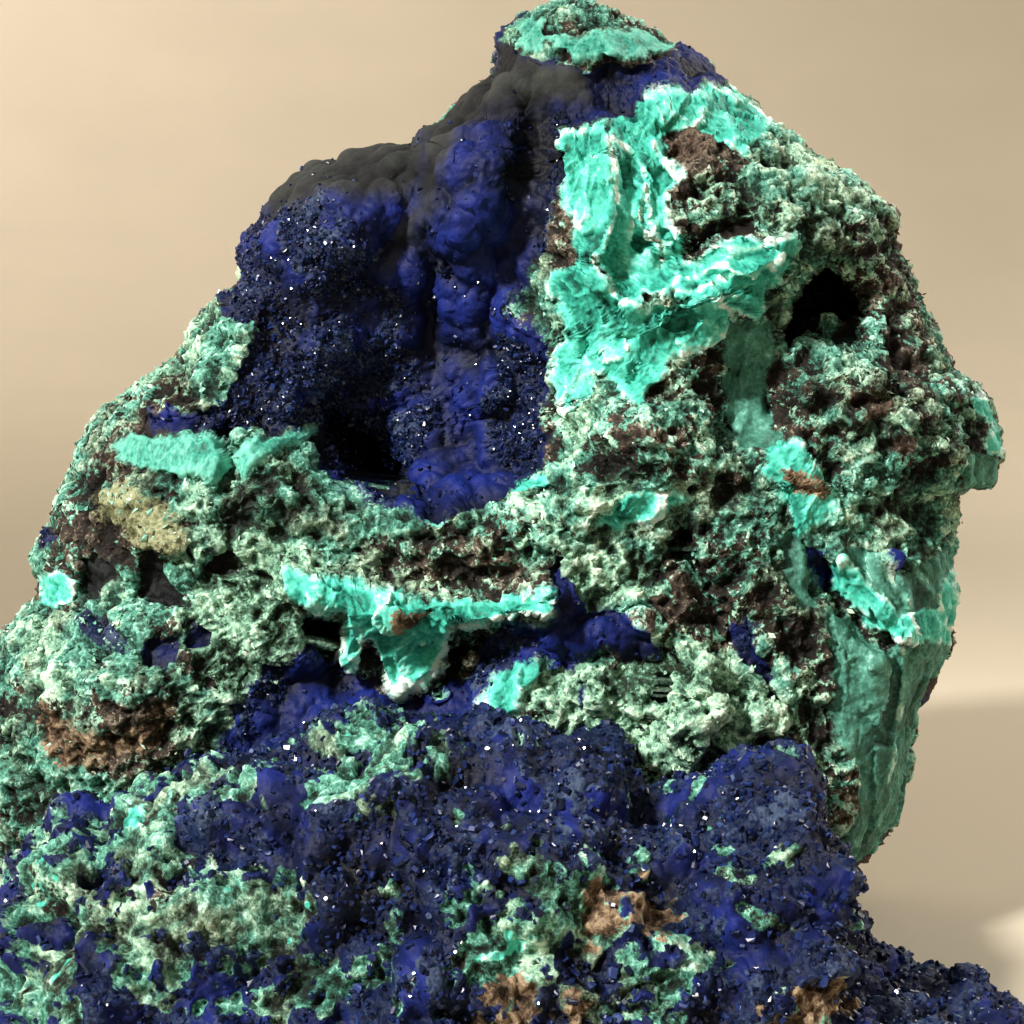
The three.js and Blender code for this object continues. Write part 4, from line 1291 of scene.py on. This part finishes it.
def add_wedge(name, first, last):
    """The columns from first to last, walls from both to the inner line, and a fan at the base. The top
    row is one point."""
    columns = np.arange(first, last + 1) % sides.size
    count = columns.size
    points = np.concatenate([rows_of(tall_points[:, :-1, columns]), tall_points[:, -1, :1].T,
                             axis_points()[:, :-1].T])
    pole = (ROWS - 1) * count
    points[pole + 1, 2] = 0  # the inner line's foot lies exactly on the base
    skin = np.arange(pole).reshape(ROWS - 1, count)
    inner = pole + 1 + np.arange(ROWS - 1)[:, None]
    index = np.hstack([inner, skin, inner])
    index = np.vstack([index, np.full((1, count + 2), pole)])
    foot = skin[0]
    fan = np.stack([np.full(count - 1, inner[0, 0]), foot[1:], foot[:-1]], -1)
    triangles = np.concatenate([grid_triangles(index, points), fan])
    normals = np.concatenate([rows_of(tall_normals[:, :-1, columns]), tall_normals[:, -1, :1].T,
                              np.repeat(tall_normals[:, -1, :1].T, ROWS - 1, axis=0)])
    marks = {}
    for mark_name, values in {**tall_patches, **tall_marks}.items():
        outer = values[:-1, columns].ravel()
        marks[mark_name] = np.concatenate([outer, np.full(ROWS, outer[-1])])
    return add_piece(name, rock_finish, points, triangles, normals, marks)


CUTS = [0, 180, 360, FRONT_COLUMNS - 1, sides.size]
add_wedge("rock_front_left", CUTS[0], CUTS[1])
add_wedge("rock_front_middle", CUTS[1], CUTS[2])
add_wedge("rock_front_right", CUTS[2], CUTS[3])
add_wedge("rock_back", CUTS[3], CUTS[4])

# %% The front shelf as a piece
def add_shelf():
    """Loops side by side, each closed by the step from its last point back to its first, and a fan on
    each end loop."""
    sections, loop = shelf_points[0].shape
    points, normals = rows_of(shelf_points), rows_of(shelf_normals)
    index = np.arange(sections * loop).reshape(sections, loop)
    left, right = index[0], index[-1]
    ends = [np.stack([np.full(loop - 2, left[0]), left[2:], left[1:-1]], -1),
            np.stack([np.full(loop - 2, right[0]), right[1:-1], right[2:]], -1)]
    around = np.hstack([index, index[:, :1]])
    triangles = np.concatenate([grid_triangles(around, points), *ends])
    marks = {name: values.ravel() for name, values in {**shelf_patches, **shelf_marks}.items()}
    return add_piece("front_shelf", rock_finish, points, triangles, normals, marks)


add_shelf()

# %% [markdown]
# ## Crystals and flakes
# A skin of tiny crystals is what makes azurite sparkle, and curled flakes make the crumbly rock rough. They
# are far too many to place by hand, so one small shape is repeated over the surface with a random turn and
# size, as plain arrays, and all copies are one mesh.

# %% Scatter small shapes
def spread(points, normals, weight, count, seed):
    """Random places on a grid, more of them where a face is large and its weight high, with their normals."""
    along, upward = np.diff(points, axis=2)[:, :-1], np.diff(points, axis=1)[:, :, :-1]
    area = np.linalg.norm(np.cross(along, upward, axis=0), axis=0) * weight[:-1, :-1]
    chance = np.random.default_rng(seed)
    picked = chance.choice(area.size, count, p=(area / area.sum()).ravel())
    row, column = np.unravel_index(picked, area.shape)
    share = chance.random((2, count))
    spot = points[:, row, column] + share[0] * along[:, row, column] + share[1] * upward[:, row, column]
    return spot.T, normals[:, row, column].T, (row, column), chance


def turned_frames(normals, lean, chance):
    """Three unit directions for each place: one near the normal, leaned at random, and two across it."""
    axis = normals + lean * chance.normal(size=normals.shape)
    axis /= np.linalg.norm(axis, axis=1, keepdims=True)
    first = np.cross(axis, chance.normal(size=normals.shape))
    first /= np.linalg.norm(first, axis=1, keepdims=True)
    return first, np.cross(axis, first), axis


def copies(spots, frames, sizes, corners, faces):
    """All copies of a small shape: its corners carried along three directions by three sizes each."""
    scaled = corners[None] * sizes[:, None, :]
    points = spots[:, None] + sum(scaled[..., n:n + 1] * frames[n][:, None] for n in range(3))
    triangles = faces[None] + (np.arange(len(spots)) * len(corners))[:, None, None]
    return points.reshape(-1, 3), triangles.reshape(-1, 3)


# A crystal: a squarish foot and a roof ridge, as azurite grows. A flake: a thin bent shard.
CRYSTAL = np.array([(-1, -0.7, -0.5), (1, -0.7, -0.5), (1, 0.7, -0.5), (-1, 0.7, -0.5),
                    (-1.1, -0.6, 0.5), (1.1, -0.6, 0.5), (1.1, 0.6, 0.5), (-1.1, 0.6, 0.5),
                    (-0.7, 0.1, 1), (0.6, -0.1, 1)])
CRYSTAL_FACES = np.array([(0, 2, 1), (0, 3, 2), (0, 1, 5), (0, 5, 4), (1, 2, 6), (1, 6, 5), (2, 3, 7),
                          (2, 7, 6), (3, 0, 4), (3, 4, 7), (4, 5, 9), (4, 9, 8), (5, 6, 9), (6, 7, 8),
                          (6, 8, 9), (7, 4, 8)])
FLAKE = np.array([(-1, 0, 0.15), (0, -0.8, -0.1), (1, 0.1, 0.2), (0.1, 0.8, -0.15), (0, 0, 0.5),
                  (0, 0, -0.4)])
FLAKE_FACES = np.array([(0, 1, 4), (1, 2, 4), (2, 3, 4), (3, 0, 4),
                        (1, 0, 5), (2, 1, 5), (3, 2, 5), (0, 3, 5)])


def add_copies(name, material, spots, frames, sizes, shape, marks):
    """The copies as one flat-shaded mesh, with marks of its own for each copy."""
    points, triangles = copies(spots, frames, sizes, *shape)
    repeated = {mark_name: np.repeat(values, len(shape[0])) for mark_name, values in marks.items()}
    return add_piece(name, material, points, triangles, None, repeated)


def small_finish(name, roughness, specular, stops=None):
    """A finish for small shapes: a ramp, or the crumbly rock's colour, read by each one's own shade and a
    little noise."""
    made = new_material(name)
    level = sum_of(made, grain_of(made, 0.5), 0.3, sum_of(made, mark(made, "shade"), 1.0, -0.15))
    colour = ramp(made, level, stops) if stops else crumbly_colour(made, level)[0]
    shader = node(made, "ShaderNodeBsdfPrincipled", {"Base Color": colour, "Roughness": roughness,
                  "Specular IOR Level": specular})
    node(made, "ShaderNodeOutputMaterial", {"Surface": shader.outputs[0]})
    return made


crystal_finish = small_finish("azurite_crystal", 0.25, 0.4, [
    (0.0, (0.003, 0.006, 0.018)), (0.5, (0.007, 0.014, 0.065)), (0.85, (0.018, 0.036, 0.15)),
    (1.0, (0.13, 0.18, 0.30))])
flake_finish = small_finish("crusty_flake", 0.8, 0.2)
glint_finish = small_finish("clear_crystal", 0.08, 0.8,
                            [(0.0, (0.10, 0.13, 0.22)), (1.0, (0.45, 0.50, 0.58))])


def random_sizes(size, long, wide, tall, chance):
    """A size times a random length, width and height, each between two shares."""
    return size[:, None] * np.stack([chance.uniform(*pair, len(size)) for pair in (long, wide, tall)], -1)


print("faces of a crystal and a flake:", len(CRYSTAL_FACES), len(FLAKE_FACES))

# %% [markdown]
# ## The druse in the pocket
# Druse is a skin of crystals all of one age, each well under half a millimetre. It grows where the azurite
# is dark and rough, and leaves the dull velvety places bare, so its weight follows the same marks as the
# finish. Its shades lean towards the dark end, since most faces look away from the light.

# %% The druse in the pocket
CRYSTALS_IN_POCKET, CRYSTALS_ON_SHELF, FLAKES = 12000, 12000, 13000

front = slice(0, FRONT_COLUMNS)
lit_front, front_normals = tall_points[:, :, front], tall_normals[:, :, front]
azure = share_of(tall_patches["azurite"][:, front] - 0.3)
fuzzy = share_of(tall_patches["velvet"][:, front] + 0.8, 3.0)
druse_there = share_of(tall_patches["druse"][:, front], 2.0)
sparkly = azure * (1 - 0.97 * fuzzy) * (0.03 + 0.97 * druse_there) + 1e-9
spots, grown, _, chance = spread(lit_front, front_normals, sparkly, CRYSTALS_IN_POCKET, 201)
size = chance.uniform(0.08, 0.2, len(spots)) * chance.choice([1, 1, 1, 1, 1.6], len(spots))
sizes = random_sizes(size, (0.7, 1.2), (0.6, 1), (0.8, 1.5), chance)
add_copies("pocket_crystals", crystal_finish, spots, turned_frames(grown, 0.5, chance), sizes,
           (CRYSTAL, CRYSTAL_FACES), {"shade": chance.beta(1.5, 2.4, len(spots))})

# %% [markdown]
# ## The druse on the front shelf
# The shelf's crystals are the same kind but half as large again, because they stand nearer to the eye and
# grew in the open. They leave out the foot, where they would stick through the sawn base.

# %% The druse on the front shelf
over = share_of(shelf_patches["azurite"] + 0.3) * soft(shelf_points[2] - 0.8)
over = over * (0.3 + 0.7 * share_of(shelf_patches["druse"], 2.0))
spots, grown, _, chance = spread(shelf_points, shelf_normals, over, CRYSTALS_ON_SHELF, 202)
size = chance.uniform(0.13, 0.3, len(spots)) * chance.choice([1, 1, 1, 1.4], len(spots))
sizes = random_sizes(size, (0.7, 1.2), (0.6, 1), (0.8, 1.5), chance)
add_copies("shelf_crystals", crystal_finish, spots, turned_frames(grown, 0.5, chance), sizes,
           (CRYSTAL, CRYSTAL_FACES), {"shade": chance.beta(1.6, 2.0, len(spots))})

# %% [markdown]
# ## Flakes
# The crumbly rock ends in thin shards that stand off it. A grid can't overhang like that, so shards are
# added to the heights of the crust, and each takes the colour of the crust it stands on.

# %% Flakes on the crumbly rock
bare = np.ones(tall_patches["azurite"].shape, np.float32)
for mineral in ("azurite", "malachite", "silky", "dark_malachite_and_shade", "velvet", "black_spots_and_shade"):
    bare = bare * (1 - share_of(tall_patches[mineral] + 0.4))
bare = bare * soft(tall_points[2] - 1)
crumbs = bare * (0.1 + soft((tall_marks["high"] - 0.25) / 0.5)) * np.where(in_front, 1, 0.35) + 1e-9
spots, grown, picked, chance = spread(tall_points, tall_normals, crumbs, FLAKES, 203)
size = chance.uniform(0.14, 0.42, len(spots)) * chance.choice([1, 1, 1, 1.5], len(spots))
sizes = random_sizes(size, (0.7, 1.3), (0.5, 1), (0.2, 0.5), chance)
flake_marks = {name: tall_marks[name][picked] for name in ("crust", "paleness")}
flake_marks["shade"] = tall_marks["high"][picked] + chance.normal(0, 0.16, len(spots))
add_copies("crusty_flakes", flake_finish, spots, turned_frames(grown, 0.35, chance), sizes,
           (FLAKE, FLAKE_FACES), flake_marks)

# %% [markdown]
# ## Glints
# A few clear crystal faces flash where they happen to face halfway between the lamp and the eye. With
# small crystals turned at random hardly one in a thousand does, so a few dozen are turned that way.

# %% Glints
KEY_SPOT = (-0.55, -0.50, 0.62)  # m, where the key light stands
PLATE = np.array([(math.cos(n * math.pi / 3), math.sin(n * math.pi / 3), 0.2) for n in range(6)]
                 + [(0.7 * math.cos(n * math.pi / 3), 0.7 * math.sin(n * math.pi / 3), 1) for n in range(6)]
                 + [(0, 0, 1), (0, 0, -1)])
PLATE_FACES = np.array([face for n in range(6) for m in [(n + 1) % 6] for face in
                        [(n, m, 6 + m), (n, 6 + m, 6 + n), (6 + n, 6 + m, 12), (m, n, 13)]])


def facing_halfway(spots, chance):
    """Directions halfway between the key light and the eye, a little astray, and two across them."""
    to_lamp = np.array(KEY_SPOT) / MM - spots
    to_eye = np.array(eye) / MM - spots
    middle = sum(way / np.linalg.norm(way, axis=1, keepdims=True) for way in (to_lamp, to_eye))
    middle /= np.linalg.norm(middle, axis=1, keepdims=True)
    return turned_frames(middle, 0.025, chance)


for name, points, normals, weight, count, low, high, seed in [
    ("pocket_glints", lit_front, front_normals, sparkly, 90, 0.07, 0.16, 204),
    ("shelf_glints", shelf_points, shelf_normals, over, 80, 0.12, 0.30, 205),
]:
    spots, grown, _, chance = spread(points, normals, weight, count, seed)
    spots = spots + 0.15 * grown
    sizes = random_sizes(chance.uniform(low, high, count), (0.8, 1.1), (0.6, 1), (0.6, 1), chance)
    add_copies(name, glint_finish, spots, facing_halfway(spots, chance), sizes,
               (PLATE, PLATE_FACES), {"shade": chance.random(count)})

# %% [markdown]
# ## The stage
# The rock stands on a plain pale sweep: a floor that curves up into a wall. It goes all the way round,
# so that the rock can be looked at from behind. It is a profile turned about the upright axis.

# %% The sweep
SWEEP_FLOOR, SWEEP_CURVE, SWEEP_TOP = 0.6, 1.1, 1.8  # m: flat radius, radius of the curve, height


def add_sweep():
    """A profile, out along the floor, up a quarter circle and up the wall, turned in 96 steps."""
    quarter = np.linspace(0, math.pi / 2, 49)
    radius = np.concatenate([[1e-4, 0.2, 0.4], SWEEP_FLOOR + SWEEP_CURVE * np.sin(quarter),
                             [SWEEP_FLOOR + SWEEP_CURVE]])
    height = np.concatenate([[0, 0, 0], SWEEP_CURVE * (1 - np.cos(quarter)), [SWEEP_TOP]])
    turn = np.linspace(0, 2 * math.pi, 97)[:-1, None]
    points = np.stack([radius * np.cos(turn), radius * np.sin(turn), height + 0 * turn], -1)
    around, out = points.shape[:2]
    index = np.arange(around * out).reshape(around, out)
    index = np.vstack([index, index[:1]])
    quads = np.stack([index[:-1, :-1], index[:-1, 1:], index[1:, 1:], index[1:, :-1]], -1).reshape(-1, 4)
    mesh = bpy.data.meshes.new("sweep")
    mesh.from_pydata(points.reshape(-1, 3).tolist(), [], quads.tolist())
    mesh.shade_smooth()
    sweep = bpy.data.objects.new("sweep", mesh)
    bpy.context.scene.collection.objects.link(sweep)
    return sweep


def paper_finish():
    """Warm pale paper: a faint broad unevenness."""
    paper = new_material("pale_paper")
    spot = node(paper, "ShaderNodeTexCoord").outputs["Object"]
    cloud = node(paper, "ShaderNodeTexNoise", {"Vector": spot, "Scale": 9.0, "Detail": 2.0}).outputs["Fac"]
    colour = ramp(paper, cloud, [(0.3, (0.50, 0.44, 0.342)), (0.7, (0.53, 0.466, 0.362))])
    shader = node(paper, "ShaderNodeBsdfPrincipled", {"Base Color": colour, "Roughness": 0.9})
    node(paper, "ShaderNodeOutputMaterial", {"Surface": shader.outputs[0]})
    return paper


add_sweep().data.materials.append(paper_finish())
print("sweep, m across:", round(2 * (SWEEP_FLOOR + SWEEP_CURVE), 1))

# %% [markdown]
# ## Light
# A fairly small, strong key light from the upper left gives the grain its shadows. It is a spot whose cone
# is just wide enough for the rock: a wide one would cast the rock's hard shadow on the sweep. The pale
# sweep, a dim sky and a weak lamp from behind the right shoulder fill the shadows. Two broad lamps light
# the sweep itself, and face away from the rock.

# %% Lamps
KEY_COLOUR, WASH_COLOUR, SKY_COLOUR = (1.0, 0.96, 0.90), (1.0, 0.95, 0.88), (0.82, 0.90, 1.0, 1)
SKY_STRENGTH = 0.1


def add_lamp(name, kind, spot, aim, watts, colour):
    """A lamp of a kind that shines from spot towards aim, both in metres. Gives its light, to be sized."""
    light = bpy.data.lights.new(name, kind)
    light.energy, light.color = watts, colour
    lamp = bpy.data.objects.new(name, light)
    lamp.location = spot
    lamp.rotation_euler = (Vector(aim) - Vector(spot)).to_track_quat("-Z", "Y").to_euler()
    bpy.context.scene.collection.objects.link(lamp)
    return light


key = add_lamp("key", "SPOT", KEY_SPOT, (-0.008, -0.01, 0.048), 76, KEY_COLOUR)
key.shadow_soft_size = 0.065
key.spot_size = math.radians(11.6)
key.spot_blend = 0.2
for name, spot, aim, width, height, watts in [
    ("back_fill", (0.55, 0.35, 0.6), (0.15, 0.1, 0), 0.4, 0.4, 5.5),
    ("behind_wash", (-1.15, 0.45, 1.05), (-1.1, 1.6, 0.9), 0.5, 0.5, 48),
    ("front_wash", (0.3, -0.9, 1.25), (0, -1.6, 0.35), 1.2, 0.5, 5.0),
]:
    wash = add_lamp(name, "AREA", spot, aim, watts, WASH_COLOUR)
    wash.shape, wash.size, wash.size_y = "RECTANGLE", width, height
world = bpy.data.worlds.new("sky")
world.use_nodes = True
world.node_tree.nodes["Background"].inputs[0].default_value = SKY_COLOUR
world.node_tree.nodes["Background"].inputs[1].default_value = SKY_STRENGTH
bpy.context.scene.world = world
bpy.context.scene.view_settings.view_transform = "Standard"
print("lamps:", len(bpy.data.lights))
